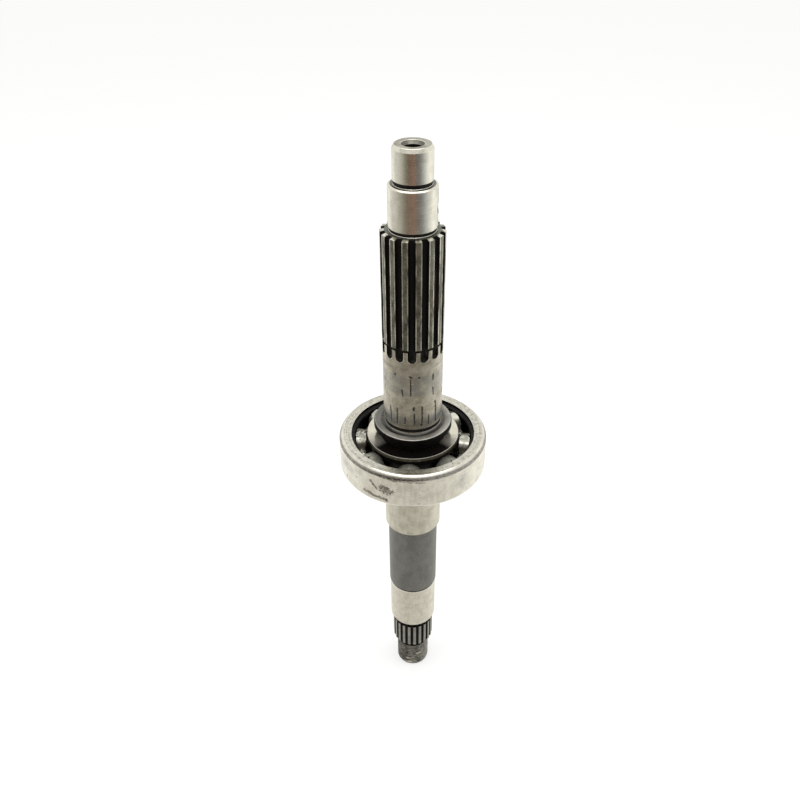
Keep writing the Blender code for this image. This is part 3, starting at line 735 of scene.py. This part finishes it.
def build_fine_spline(skin):
    """The fine spline and the relief above it, going down."""
    for height in (LOWER_FOOT, FINE_TOP):
        skin.ring(circle(FINE_RELIEF_RADIUS, height, FINE.columns(), FINE.turn), "relief")
    teeth = FINE.pattern("fine_gap", "fine_tooth", "fine_tooth")
    stations = (
        (FINE_TOP, FINE.radius - FINE_EDGE, FINE.pattern("fine_gap", "relief", "relief")),
        (FINE_TOP - FINE_EDGE, FINE.radius, teeth),
        (FINE_FOOT + FINE_CHAMFER, FINE.radius, teeth),
        (FINE_FOOT, FINE.radius - FINE_CHAMFER, teeth),
    )
    for height, outside, finish in stations:
        skin.ring(FINE.ring(height, outside), finish)
    skin.ring(circle(NECK_RADIUS, FINE_FOOT, THREAD_COLUMNS, FINE.turn), "fine_tooth")


def thread_depth(turn, height):
    """How far the right-hand thread's surface lies under its crests here."""
    along = ((height - SHAFT_FOOT) / THREAD_PITCH - turn / 360.0) % 1.0
    flank = (1 - THREAD_CREST_SHARE - THREAD_ROOT_SHARE) / 2
    fall = (along - THREAD_CREST_SHARE) / flank
    return THREAD_DEPTH * max(0.0, min(fall, 1.0, (1 - along) / flank))


def thread_wear(turn, height):
    """How worn the thread is here, from 0 to 1: flattened in patches near the front of its lower end."""
    away = (turn + 180.0) % 360.0 - 180.0
    worn = 0.0
    for centre, middle, spread, reach in WORN_PATCHES:
        worn = max(worn, 1.0 - hypot((away - centre) / spread, (height - middle) / reach))
    rough = noise.noise(Vector((turn * 0.11, height * 1.3, 3.0)))
    return min(1.0, max(0.0, worn * 1.6 + rough * 0.55)) if worn > 0.0 else 0.0


def thread_radius(turn, height):
    depth = thread_depth(turn, height) * min(1.0, max(0.0, (THREAD_TOP - height) / THREAD_PITCH))
    flattened = THREAD_FLATTENING * thread_wear(turn, height)
    nick = THREAD_NICKS * noise.noise(Vector((turn * 0.12, height * 1.1, 0.0)))
    inset, length = THREAD_CHAMFER
    taper = inset * max(0.0, (SHAFT_FOOT + length - height) / length)
    return THREAD_RADIUS - max(depth, flattened, taper) - max(0.0, nick)


def build_thread(skin):
    skin.ring(circle(NECK_RADIUS, THREAD_TOP, THREAD_COLUMNS, FINE.turn), "relief")
    count = round((THREAD_TOP - SHAFT_FOOT) / THREAD_ROW)
    turns = [FINE.turn + 360.0 * index / THREAD_COLUMNS for index in range(THREAD_COLUMNS)]
    for row in range(count + 1):
        height = THREAD_TOP + (SHAFT_FOOT - THREAD_TOP) * row / count
        skin.ring([point(thread_radius(turn, height), turn, height) for turn in turns], "thread")
    skin.cap(point(0.0, 0.0, SHAFT_FOOT), "thread")


def drill_oil_hole(shaft):
    """Bores the cross hole from the lubricating bore out through the side of the middle journal."""
    bm = bmesh.new()
    radius, reach = OIL_HOLE_RADIUS * MM, (MIDDLE_RADIUS + OIL_HOLE_PAST) * MM
    made = bmesh.ops.create_cone(
        bm, cap_ends=True, segments=OIL_HOLE_COLUMNS, radius1=radius, radius2=radius, depth=reach)
    bmesh.ops.translate(bm, verts=made["verts"], vec=(0, 0, reach / 2))
    cutter = add_mesh("oil_hole_cutter", bm, ["bore"])
    cutter.rotation_euler = (0, pi / 2, radians(OIL_HOLE_TURN - 90.0))
    cutter.location = (0, 0, BEARING_TOP + OIL_HOLE_HEIGHT * MM)
    boolean = shaft.modifiers.new("oil_hole", "BOOLEAN")
    boolean.operation = "DIFFERENCE"
    boolean.solver = "EXACT"
    boolean.material_mode = "TRANSFER"
    boolean.object = cutter
    bpy.context.view_layer.update()
    drilled = bpy.data.meshes.new_from_object(shaft.evaluated_get(bpy.context.evaluated_depsgraph_get()))
    shaft.modifiers.clear()
    shaft.data = drilled
    bpy.data.objects.remove(cutter, do_unlink=True)


def turned_ring(name, outline, columns, last_finish):
    """A closed ring of revolution. The stretch from the last point to the first takes the last finish."""
    skin = Skin()
    skin.turned(outline, columns)
    skin.close([last_finish])
    return skin.build(name)


def build_outer_ring():
    bend = radians(RING_CORNER_BEND)
    bow = RING_CORNER / (cos(bend) - sin(bend))
    inset = bow * cos(bend)
    steep, flat = 90.0 - RING_CORNER_BEND, RING_CORNER_BEND
    upper = arc(OUTER_RADIUS - inset, -inset, bow, steep, flat, UPPER_CORNER_STEPS, "ring_corner")
    lower = arc(
        OUTER_RADIUS - inset, BEARING_BOTTOM + inset, bow, -flat, -steep, LOWER_CORNER_STEPS, "ring_corner")
    race_centre = BALL_CIRCLE + BALL_RADIUS + RACE_CLEARANCE - RACE_RADIUS
    reach = degrees(acos((OUTER_SHOULDER_RADIUS - race_centre) / RACE_RADIUS))
    outline = [
        (RECESS_RADIUS + RING_EDGE, 0.0, "ring_face"),
        (OUTER_RADIUS - RING_CORNER, 0.0, "ring_face"),
        *upper[1:],
        (OUTER_RADIUS, BEARING_BOTTOM + RING_CORNER, "ring"),
        *lower[1:],
        (RECESS_RADIUS + RING_EDGE, BEARING_BOTTOM, "ring_face"),
        (RECESS_RADIUS, BEARING_BOTTOM + RING_EDGE, "rim"),
        # The recess walls and the raceway are near black as painted shade
        (RECESS_RADIUS, BEARING_BOTTOM + RECESS_DEPTH, "race"),
        (OUTER_SHOULDER_RADIUS, BEARING_BOTTOM + OUTER_SHOULDER_DROP, "race"),
        *arc(race_centre, BEARING_MIDDLE, RACE_RADIUS, -reach, reach, RACE_STEPS, "race"),
        (OUTER_SHOULDER_RADIUS, -OUTER_SHOULDER_DROP, "race"),
        (RECESS_RADIUS, -RECESS_DEPTH, "race"),
        (RECESS_RADIUS, -RING_EDGE, "race"),
    ]
    outline = rows(rows(outline, "ring", MARKED_ROW), "ring_face", FACE_ROW)
    return turned_ring("outer_ring", outline, OUTER_COLUMNS, "rim")


def build_inner_ring():
    race_centre = BALL_CIRCLE - BALL_RADIUS - RACE_CLEARANCE + RACE_RADIUS
    reach = degrees(acos((race_centre - INNER_SHOULDER_RADIUS) / RACE_RADIUS))
    outline = [
        (INNER_BORE_RADIUS, -INNER_CORNER, "inner_face"),
        (INNER_BORE_RADIUS + INNER_CORNER, 0.0, "inner_face"),
        (INNER_SHOULDER_RADIUS - INNER_EDGE, 0.0, "inner_face"),
        (INNER_SHOULDER_RADIUS, -INNER_EDGE, "rim"),
        (INNER_SHOULDER_RADIUS, -LIT_SHOULDER, "inner_shoulder"),
        # Below the lit top of the shoulder, the dark raceway finish is painted shade
        *arc(race_centre, BEARING_MIDDLE, RACE_RADIUS, 180.0 - reach, 180.0 + reach, RACE_STEPS, "race"),
        (INNER_SHOULDER_RADIUS, BEARING_BOTTOM + INNER_EDGE, "race"),
        (INNER_SHOULDER_RADIUS - INNER_EDGE, BEARING_BOTTOM, "rim"),
        (INNER_BORE_RADIUS + INNER_CORNER, BEARING_BOTTOM, "inner_face"),
        (INNER_BORE_RADIUS, BEARING_BOTTOM + INNER_CORNER, "rim"),
    ]
    outline = rows(outline, "inner_face", FACE_ROW)
    return turned_ring("inner_ring", outline, INNER_COLUMNS, "inner_face")


def ball_turn(index):
    return FRONT_BALL_TURN + 360.0 * index / BALL_COUNT


def build_ball(index):
    """One ball, with shallow rust pits pressed into its surface."""
    bm = bmesh.new()
    bmesh.ops.create_icosphere(bm, subdivisions=BALL_SUBDIVISIONS, radius=BALL_RADIUS * MM)
    centre = Vector(point(BALL_CIRCLE, ball_turn(index), BEARING_MIDDLE))
    for vert in bm.verts:
        spot = vert.co / MM * 1.6 + Vector((index * 7.0, 0.0, 0.0))
        pit = max(0.0, noise.noise(spot) - 0.32) * BALL_PIT_DEPTH
        vert.co *= 1.0 - pit / BALL_RADIUS
        vert.co += centre
    return add_mesh(f"steel_ball_{index + 1}", bm, ["ball"])


def cage_stations():
    """The sheet's middle line over one pitch, as (along, height, slope angle), for the upper half."""
    middle = CAGE_POCKET_RADIUS + CAGE_THICKNESS / 2
    flat = CAGE_HALF_GAP + CAGE_THICKNESS / 2
    start = asin((flat + CAGE_BEND) / middle)
    stations = []
    for step in range(POCKET_STEPS + 1):
        angle = start + (pi - 2 * start) * step / POCKET_STEPS
        stations.append((-middle * cos(angle), middle * sin(angle), pi / 2 - angle))
    reach = stations[-1][0] + CAGE_FOLD
    pitch = tau * BALL_CIRCLE / BALL_COUNT
    return stations + [
        (reach + (pitch - 2 * reach) * step / FLAT_STEPS, flat, 0.0) for step in range(FLAT_STEPS + 1)]


def sheet_section():
    """The sheet's rounded section, as (across, up), a quarter at a time."""
    section = []
    for quarter, (side, rise) in enumerate(((1, 1), (-1, 1), (-1, -1), (1, -1))):
        for step in range(CAGE_EDGE_STEPS):
            angle = pi / 2 * (quarter + step / (CAGE_EDGE_STEPS - 1))
            across = side * (CAGE_WIDTH / 2 - CAGE_EDGE) + CAGE_EDGE * cos(angle)
            section.append((across, rise * (CAGE_THICKNESS / 2 - CAGE_EDGE) + CAGE_EDGE * sin(angle)))
    return section


def cage_point(across, rise, along, up, slope, ball, side):
    """A point of the sheet. A pocket is a cup round its ball, narrow at its ends and falling to its sides."""
    if slope:
        full = max(0.0, 1.0 - (along / CAGE_POCKET_RADIUS) ** 4) ** 0.5
        across *= CAGE_FLAT_SHARE + (1.0 - CAGE_FLAT_SHARE) * full
        reach = hypot(along, up)
        cupped = sqrt(reach ** 2 - across ** 2) / reach
    else:
        across *= CAGE_FLAT_SHARE
        cupped = 1.0
    offset = along * cupped - rise * sin(slope)
    height = BEARING_MIDDLE + side * (up * cupped + rise * cos(slope))
    return point(BALL_CIRCLE + across, ball_turn(ball) + degrees(offset / BALL_CIRCLE), height)


def build_cage_half(name, side):
    """One wavy half of the pressed cage; side is 1 for the upper half and -1 for the lower."""
    skin = Skin()
    edge = ["cage_edge"] * (CAGE_EDGE_STEPS - 1)
    pattern = (edge + ["cage"] + edge + ["cage_edge"]) * 2
    for ball in range(BALL_COUNT):
        for station in cage_stations():
            skin.ring([cage_point(*corner, *station, ball, side) for corner in sheet_section()], pattern)
    skin.close(pattern)
    return skin.build(name)


def build_rivet(index):
    """A rivet with a domed head on each side."""
    seat = CAGE_HALF_GAP + CAGE_THICKNESS
    angles = [pi / 2 * step / RIVET_STEPS for step in range(RIVET_STEPS)]
    upper = [(RIVET_SHANK_RADIUS, seat)]
    upper += [(RIVET_HEAD_RADIUS * cos(a), seat + RIVET_HEAD_HEIGHT * sin(a)) for a in angles]
    lower = [(radius, -height) for radius, height in reversed(upper)]
    centre = Vector(point(BALL_CIRCLE, ball_turn(index + 0.5), BEARING_MIDDLE))
    crown = Vector((0, 0, (seat + RIVET_HEAD_HEIGHT) * MM))
    turns = [tau * step / RIVET_COLUMNS for step in range(RIVET_COLUMNS)]
    skin = Skin()
    for radius, height in lower + upper:
        places = [(radius * cos(t), radius * sin(t), height) for t in turns]
        started = skin.last
        skin.ring([centre + Vector(place) * MM for place in places], "cage_edge")
        if not started:
            skin.cap(centre - crown, "cage_edge")
    skin.cap(centre + crown, "cage_edge")
    return skin.build(f"domed_rivet_{index + 1}")


# Marks as ((turn, height), (turn, height), width), read off the photo
JOURNAL_MARKS = (
    ((-35, 40.5), (-35, 40.2), 1.2), ((-6, 40.3), (-3, 39.9), 1.2), ((-4, 38.7), (-4, 30.0), 0.85),
    ((12, 39.9), (12, 39.6), 1.2), ((41, 39.7), (41, 37.0), 0.95), ((41, 32.6), (42, 28.7), 0.85),
    ((-21, 32.7), (-19, 29.5), 0.85), ((-67, 35.3), (-67, 33.6), 0.85), ((-68, 30.7), (-68, 28.4), 0.85),
    ((74, 28.1), (74, 25.7), 0.85), ((-48, 21.6), (-46, 13.2), 0.85), ((-31, 21.9), (-32, 13.2), 0.85),
    ((-15, 17.3), (-15, 14.1), 0.85), ((2, 23.3), (2, 21.6), 1.15), ((3, 19.9), (3, 13.5), 0.85),
    ((18, 23.4), (18, 13.0), 0.95), ((16, 13.3), (16, 12.9), 1.15), ((32, 17.8), (32, 13.1), 0.85),
    ((47, 24.0), (49, 24.0), 1.2), ((49, 23.9), (50, 12.7), 1.05),
)
MIDDLE_PIT = (((-36, 113.6), (-36, 113.3), 0.9),)
UPPER_NICK = (((-85, 140.0), (-83, 139.2), 0.8),)
RUSTY_GAPS = (((46.6, 72.0), (46.6, 88.0), 2.0), ((70.6, 60.0), (70.6, 92.0), 1.6))
RING_STAINS = (
    ((-23, -8.8), (-18, -9.8), 4.2), ((-33, -6.4), (-28, -9.8), 1.3),
    ((-21, -1.7), (-12, -2.6), 1.3), ((-25, -2.0), (9, -3.2), 0.6), ((-39, -14.0), (-20, -15.2), 1.5),
    ((-62, -13.8), (-61, -13.9), 0.6), ((-48, -9.0), (-47, -9.2), 0.6), ((4, -15.8), (5, -15.8), 0.5),
)
# Bands as (from, to, softness) of heights, turns or radii, and grey bands on the ring's side as two bands and
# a share
TURNING_LINE, JOURNAL_FILM = (43.1, 43.9, 0.2), (29.5, 40.6, 0.8)
# Heights of the painted reflection of the collar on the journal's foot and of the rust band, and the turns
# over which the reflection grows
FOOT_REFLECTION_BAND, FOOT_RUST, FOOT_REFLECTION_TURNS = (10.0, 19.0, 4.0), (11.0, 12.7, 0.3), (22.0, 42.0)
COLLAR_SHADE_TURNS, COLLAR_SHADE_EDGES = (12.0, 72.0), (17.8, 18.3)
# Painted dark reflection under the ring's corner and its turns; painted shade under the corner's highlight;
# painted reflection on the front of the face, by turns and radii
CORNER_REFLECTION_BAND, CORNER_REFLECTION_TURNS = (-2.25, -0.95, 0.4), (-48.0, 14.0, 10.0)
PAINTED_SHADE_LINE = (-2.2, -0.55, 0.25)
FACE_REFLECTION_TURNS, FACE_REFLECTION_RADII = (-17.0, 15.0, 6.0), (30.2, 33.8, 0.8)
SIDE_GREY_BANDS = (
    ((-75.0, -48.0, 12.0), (-12.0, -3.0, 3.0), 0.4),
    ((-8.0, 6.0, 6.0), (-17.0, -3.0, 3.0), 0.12),
    ((32.0, 48.0, 6.0), (-14.0, -3.0, 3.0), 0.35),
)
# Turns of the painted reflection on the inner ring's face
INNER_REFLECTION_TURNS = (-84.0, 84.0, 34.0)
# Turns of the front pockets, dimmed as painted shade, and of the rust specks
CAGE_FRONT_TURNS, CAGE_RUST_TURNS = (-78.0, 66.0, 20.0), (-118.0, -76.0, 5.0)


def surface(mesh):
    """Each vertex's turn in degrees, radius and height, in millimetres."""
    places = np.empty(len(mesh.vertices) * 3)
    mesh.vertices.foreach_get("co", places)
    x, y, z = places.reshape(-1, 3).T / MM
    return np.degrees(np.arctan2(x, -y)), np.hypot(x, y), z - BEARING_TOP / MM


def marked(turns, radius, heights, marks, rough, soft=0.35):
    """How far each point lies under the marks: 1 in the middle of a mark and 0 outside it."""
    cover = np.zeros(len(turns))
    for (turn_a, height_a), (turn_b, height_b), width in marks:
        start = np.array((radians(turn_a) * radius, height_a))
        run = np.array((radians(turn_b) * radius, height_b)) - start
        across, up = np.radians(turns) * radius - start[0], heights - start[1]
        share = np.clip((across * run[0] + up * run[1]) / max(run @ run, 1e-6), 0.0, 1.0)
        distance = np.hypot(across - share * run[0], up - share * run[1])
        edge = width / 2 * (1.0 + rough)
        cover = np.maximum(cover, np.clip((edge - distance) / soft + 0.5, 0.0, 1.0))
    return cover


def roughened(turns, heights, scale, seed):
    places = zip(turns * 0.24 * scale, heights * scale)
    return np.array([noise.noise(Vector((across, up, seed))) for across, up in places])


def rise(values, low, high):
    """0 below low, 1 above high, and in proportion between them."""
    return np.clip((values - low) / (high - low), 0.0, 1.0)


def band(values, low, high, soft):
    """1 between low and high, falling to 0 over the soft stretch inside each of them."""
    return rise(values, low, low + soft) * rise(-values, -high, soft - high)


def paint(mesh, **layers):
    for name, values in layers.items():
        layer = mesh.attributes.new(name, "FLOAT", "POINT")
        values = np.clip(values, 0.0, 1.0) * np.ones(len(mesh.vertices))
        layer.data.foreach_set("value", values.astype(np.float32))


def paint_shaft(mesh):
    """Marks, grey film and rust on the long journal, and a painted reflection of the collar on its foot; wear
    on the thread, a painted highlight on its crests and painted shade at its root; and painted shade on the
    collar's sides.
    """
    turns, radius, heights = surface(mesh)
    rough = roughened(turns, heights, 1.6, 1.0)
    cloud = roughened(turns, heights, 0.28, 8.0)
    on_journal = (np.abs(radius - LONG_RADIUS) < 0.05) & (heights > LONG_FOOT)
    marks = marked(turns, LONG_RADIUS, heights, JOURNAL_MARKS, rough * 0.7) * on_journal
    turning_line = band(heights, *TURNING_LINE) * 0.3 * on_journal
    pit = marked(turns, MIDDLE_RADIUS, heights, MIDDLE_PIT, rough * 0.5) * (radius > MIDDLE_RADIUS - 0.2)
    nick = marked(turns, UPPER_RADIUS, heights, UPPER_NICK, rough * 0.5)
    nick *= (radius > UPPER_RADIUS - 1.2) & (heights > 138.0)
    # Painted shade: the collar's outer face band and edge darker towards its sides, in the black paint
    on_collar = (heights < COLLAR_TOP + 0.05) & (heights > COLLAR_UNDERSIDE) & (radius > COLLAR_RING_RADII[1])
    inside = np.clip((np.where(turns > 0.0, *COLLAR_SHADE_EDGES) - radius) / 0.6 + 0.5, 0.1, 1.0)
    collar_shade = rise(np.abs(turns), *COLLAR_SHADE_TURNS) * inside * 0.7 * on_collar
    # Painted reflection of the dark collar: grey on the journal's foot, stronger towards the sides, joined to
    # the journal's grey film in the blue paint
    beside = rise(np.abs(turns), *FOOT_REFLECTION_TURNS)
    painted_foot_reflection = band(heights, *FOOT_REFLECTION_BAND) * (0.35 + beside * 0.6 + cloud * 0.5)
    film = np.maximum(band(heights, *JOURNAL_FILM) * (0.36 + cloud * 0.6), painted_foot_reflection) * on_journal
    foot_rust = band(heights, *FOOT_RUST) * (0.22 + rough * 0.2) * on_journal
    gap_rust = marked(turns, COARSE.radius, heights, RUSTY_GAPS, rough, soft=1.5)
    gap_rust *= (radius < COARSE.radius - 0.3) & (heights > SPLINE_FOOT)
    worn, painted_root_shade = np.zeros(len(turns)), np.zeros(len(turns))
    for index in np.nonzero((heights < THREAD_TOP) & (heights > SHAFT_FOOT + 0.05))[0]:
        crest = 1.0 - thread_depth(turns[index], heights[index]) / THREAD_DEPTH
        # Painted highlight on the crests, brighter right of the front, joined to the wear in the worn paint
        painted_crest_highlight = 0.18 if turns[index] < -18.0 else 0.55
        worn[index] = thread_wear(turns[index], heights[index]) * 1.3 + painted_crest_highlight * max(0.0, crest - 0.4)
        # Painted shade at the thread's root, in the black paint
        painted_root_shade[index] = max(0.0, 0.45 - crest) * 1.9 * (1.0 - min(1.0, worn[index]))
    black = np.maximum.reduce([marks, turning_line, pit, nick, painted_root_shade, collar_shade])
    paint(mesh, blue=film, brown=np.maximum(foot_rust, gap_rust), worn=worn, black=black)


def paint_outer_ring(mesh):
    """Rust stains; under the corner a painted shade line and, in front, a painted dark reflection; a grey
    painted reflection on the front of the face; and grey bands on the side.
    """
    turns, radius, heights = surface(mesh)
    rough = roughened(turns, heights, 0.9, 2.0)
    fine = roughened(turns, heights, 2.2, 5.0)
    on_side = radius > OUTER_RADIUS - RING_CORNER
    on_face = (heights > -0.05) & ~on_side
    stains = marked(turns, OUTER_RADIUS, heights, RING_STAINS, rough * 0.7 + fine * 0.7, soft=0.5)
    # Painted dark reflection, brown and black, under the corner at the front; painted shade trims the
    # corner's highlight
    dark_corner_reflection = band(heights, *CORNER_REFLECTION_BAND) * (0.8 + rough * 0.5) * band(turns, *CORNER_REFLECTION_TURNS)
    painted_shade_line = band(heights, *PAINTED_SHADE_LINE) * (0.9 + fine * 0.4) * on_side
    # Painted reflection, grey on the front of the face
    painted_face_reflection = band(turns, *FACE_REFLECTION_TURNS) * band(radius, *FACE_REFLECTION_RADII) * on_face * (0.22 + rough * 0.3)
    side_grey_bands = [band(turns, *across) * band(heights, *up) * share for across, up, share in SIDE_GREY_BANDS]
    brown = np.maximum(stains * (1.0 + fine * 0.4), dark_corner_reflection) * on_side
    black = np.maximum.reduce([painted_shade_line * 0.75, dark_corner_reflection * 0.5, stains * on_side * 0.25])
    paint(mesh, brown=brown, blue=painted_face_reflection + np.maximum.reduce(side_grey_bands) * on_side * (1.0 + rough), black=black)


def paint_inner_ring(mesh):
    """Painted reflection of the collar's dark underside: black on the front of the face."""
    turns, radius, _ = surface(mesh)
    # Painted reflection: black where the face mirrors the collar's dark underside
    painted_underside_reflection = band(turns, *INNER_REFLECTION_TURNS) * (radius < INNER_SHOULDER_RADIUS - 0.15)
    paint(mesh, black=painted_underside_reflection, blue=0.0, brown=0.0)


def paint_cage(mesh):
    """Painted shade on the pockets: dimmer at the front and on the far halves of the side pockets, darker on
    their near sides and on the inner side of the front ones; and rust specks on the one at the left.
    """
    turns, radius, heights = surface(mesh)
    up = np.abs(heights - BEARING_MIDDLE)
    right = turns > 0.0
    front = band(turns, *CAGE_FRONT_TURNS)
    # Painted shade: the far halves of the side pockets dimmed, so that their highlight sits nearer
    far = band(np.abs(turns - FRONT_BALL_TURN), np.where(right, 81.8, 80.0), 125.0, 3.0)
    # Painted shade on the near sides of the pockets and on the inner side of the front ones
    shaded_flanks = band(up, 1.3, np.where(right, 6.0, 4.9), 0.6) * (0.75 - front * 0.6)
    shaded_inner_side = front * np.clip((27.6 - radius) / 4.5, 0.0, 1.0) * 0.9
    brown = band(turns, *CAGE_RUST_TURNS)
    paint(mesh, blue=np.maximum(front * 0.5, far * 0.6), black=np.maximum(shaded_flanks, shaded_inner_side), brown=brown)


def build_object():
    shaft = build_shaft()
    drill_oil_hole(shaft)
    paint_shaft(shaft.data)
    dress(shaft, "shaft", "shaft")
    inner = build_inner_ring()
    paint_inner_ring(inner.data)
    dress(inner, "shaft", "bearing_inner_ring")
    outer = build_outer_ring()
    paint_outer_ring(outer.data)
    dress(outer, "outer_ring", "bearing_outer_ring")
    for name, side, node in (("cage_half_upper", 1, "cage_upper"), ("cage_half_lower", -1, "cage_lower")):
        half = build_cage_half(name, side)
        paint_cage(half.data)
        dress(half, "cage", node)
    for index in range(BALL_COUNT):
        ball = build_ball(index)
        dress(ball, f"ball_{index + 1}", f"ball_{index + 1}")
        rivet = build_rivet(index)
        paint(rivet.data, black=0.0, blue=0.0, brown=0.0)
        dress(rivet, "cage", f"cage_rivet_{index + 1}")


FLOOR_HALF_SIZE = 3.0
FLOOR_SEEN = tone(252, 252, 252)
FLOOR_PAINT, FLOOR_GLOW, FLOOR_LIT = (0.42,) * 3, (0.56,) * 3, (0.8,) * 3
WORLD_LIGHT = (0.95, 0.95, 0.92)
# What reflections meet round the object, as (turn, colour): bright to the sides, dim in front of it
WALL_TONES = (
    (-180, (0.60, 0.59, 0.56)), (-152, (0.92, 0.91, 0.87)), (-128, (1.05, 1.04, 1.00)),
    (-104, (0.74, 0.73, 0.70)), (-78, (0.62, 0.61, 0.57)), (-58, (0.45, 0.44, 0.39)),
    (-40, (0.27, 0.25, 0.21)), (-24, (0.18, 0.15, 0.12)), (-8, (0.25, 0.15, 0.11)),
    (8, (0.26, 0.17, 0.13)), (22, (0.20, 0.18, 0.17)), (40, (0.24, 0.25, 0.26)),
    (58, (0.46, 0.47, 0.47)), (80, (0.82, 0.82, 0.81)), (104, (1.15, 1.15, 1.10)),
    (136, (1.00, 0.99, 0.95)), (156, (0.92, 0.91, 0.87)), (180, (0.60, 0.59, 0.56)),
)
# Walls as (name, radius, turns, heights), all in metres and degrees
WALLS = (
    ("studio_wall", 0.52, (-180, 180), (0.0, 0.34)),
    ("dark_figure", 0.36, (-82, 70), (0.28, 0.52)),
)
WALL_STEP = 5
# How dim the floor is in reflections: by the turn, and by the distance from the object in metres
FLOOR_SHADE_TURNS = (
    (-180, 0.5), (-150, 0.1), (-128, 0.0), (-100, 0.35), (-72, 0.75), (-48, 0.92), (-25, 1.0), (12, 1.0),
    (35, 0.88), (58, 0.65), (84, 0.30), (112, 0.0), (150, 0.1), (180, 0.5),
)
FLOOR_SHADE_REACH = ((0.0, 0.30), (0.05, 0.38), (0.13, 0.44), (0.22, 0.44), (0.30, 0.80), (0.50, 1.0))
FLOOR_BRIGHT, FLOOR_DIM = (1.0, 0.99, 0.94), (0.26, 0.24, 0.20)
# Name, place, power, and whether reflections show it
LAMPS = (
    ("left_softbox", (-0.9, -0.15, 0.6), 2.4, False),
    ("right_softbox", (0.9, -0.05, 0.6), 2.6, False),
    ("top_softbox", (0.0, 0.05, 1.1), 3.4, True),
)
LAMP_SIZE = 0.9
LAMPS_AIM = Vector((0.0, 0.0, 0.16))


def level_place(finish):
    """The turn from the front as a share of a whole turn, and the distance from the axis in metres."""
    x, y, _ = finish.split(finish.place)
    return finish.math("ARCTAN2", x, y * -1.0) / tau + 0.5, finish.distance(x, y)


def tone_ramp(finish, value, stops):
    """A ramp through the given (place, colour or level) stops, with places from 0 to 1."""
    made = finish.tree.nodes.new("ShaderNodeValToRGB")
    elements = made.color_ramp.elements
    while len(elements) > 1:
        elements.remove(elements[-1])
    for index, (place, given) in enumerate(stops):
        stop = elements.new(place) if index else elements[0]
        stop.position = place
        stop.color = (*given, 1.0) if isinstance(given, tuple) else (given, given, given, 1.0)
    finish.put(made.inputs[0], value)
    return Value(finish, made.outputs[0])


def turn_ramp(finish, stops):
    return tone_ramp(finish, level_place(finish)[0], [(turn / 360.0 + 0.5, given) for turn, given in stops])


def stage_piece(name, verts, faces):
    """A piece of the studio, which isn't part of the object, and its finish."""
    mesh = bpy.data.meshes.new(name)
    mesh.from_pydata(verts, [], faces)
    finish = Finish(name)
    mesh.materials.append(finish.material)
    made = add(name, mesh)
    return made, finish


def build_floor():
    """A plain pale floor that keeps the object's soft shadow, and that is dimmer in front in reflections."""
    size = FLOOR_HALF_SIZE
    verts = [(-size, -size, 0), (size, -size, 0), (size, size, 0), (-size, size, 0)]
    finish = stage_piece("studio_floor", verts, [(0, 1, 2, 3)])[1]
    glow = finish.node("Emission", {"Color": FLOOR_GLOW})
    seen = finish.node("AddShader", {0: finish.node("BsdfDiffuse", {"Color": FLOOR_PAINT}), 1: glow})
    by_reach = tone_ramp(finish, level_place(finish)[1], FLOOR_SHADE_REACH)
    shade = turn_ramp(finish, FLOOR_SHADE_TURNS) * by_reach
    mirrored = finish.node("Emission", {"Color": finish.mix(shade, FLOOR_BRIGHT, FLOOR_DIM)})
    lit = finish.node("BsdfDiffuse", {"Color": FLOOR_LIT})
    glossy = finish.node("LightPath", output="Is Glossy Ray")
    unseen = finish.node("MixShader", {0: glossy, 1: lit, 2: mirrored})
    finish.show(finish.node("MixShader", {0: finish.node("LightPath"), 1: unseen, 2: seen}))


def build_wall(name, radius, turns, heights):
    """A curved wall that only reflections see, like the room and the dark figure behind a camera."""
    steps = round((turns[1] - turns[0]) / WALL_STEP)
    angles = [radians(turns[0] + (turns[1] - turns[0]) * step / steps - 90.0) for step in range(steps + 1)]
    verts = [(radius * cos(a), radius * sin(a), height) for height in heights for a in angles]
    row = steps + 1
    wall, finish = stage_piece(name, verts, [(a, a + 1, a + 1 + row, a + row) for a in range(steps)])
    finish.show(finish.node("Emission", {"Color": turn_ramp(finish, WALL_TONES)}))
    wall.visible_camera = False
    wall.visible_diffuse = False
    wall.visible_shadow = False


def build_world():
    world = bpy.data.worlds.new("studio_world")
    bpy.context.scene.world = world
    made = Nodes(world)
    lit = made.node("Background", {"Color": WORLD_LIGHT})
    seen = made.node("Background", {"Color": FLOOR_SEEN})
    shown = made.node("MixShader", {0: made.node("LightPath"), 1: lit, 2: seen})
    made.put(made.tree.nodes["World Output"].inputs[0], shown)


def build_lamps():
    for name, place, power, mirrored in LAMPS:
        lamp = bpy.data.lights.new(name, "AREA")
        lamp.shape = "DISK"
        lamp.size = LAMP_SIZE
        lamp.energy = power
        made = add(name, lamp)
        made.visible_glossy = mirrored
        made.location = place
        made.rotation_euler = (LAMPS_AIM - Vector(place)).to_track_quat("-Z", "Y").to_euler()


def build_camera():
    camera = bpy.data.cameras.new("photo_camera")
    camera.lens = CAMERA_LENS
    camera.sensor_width = CAMERA_SENSOR
    camera.shift_x, camera.shift_y = CAMERA_SHIFT
    camera.clip_start = 0.01
    made = add("photo_camera", camera)
    made.location = CAMERA_PLACE
    made.rotation_euler = (radians(CAMERA_TILT), 0.0, 0.0)
    bpy.context.scene.camera = made


build_camera()
build_floor()
for wall in WALLS:
    build_wall(*wall)
build_world()
build_lamps()
build_object()
bpy.context.scene.view_settings.view_transform = "Standard"
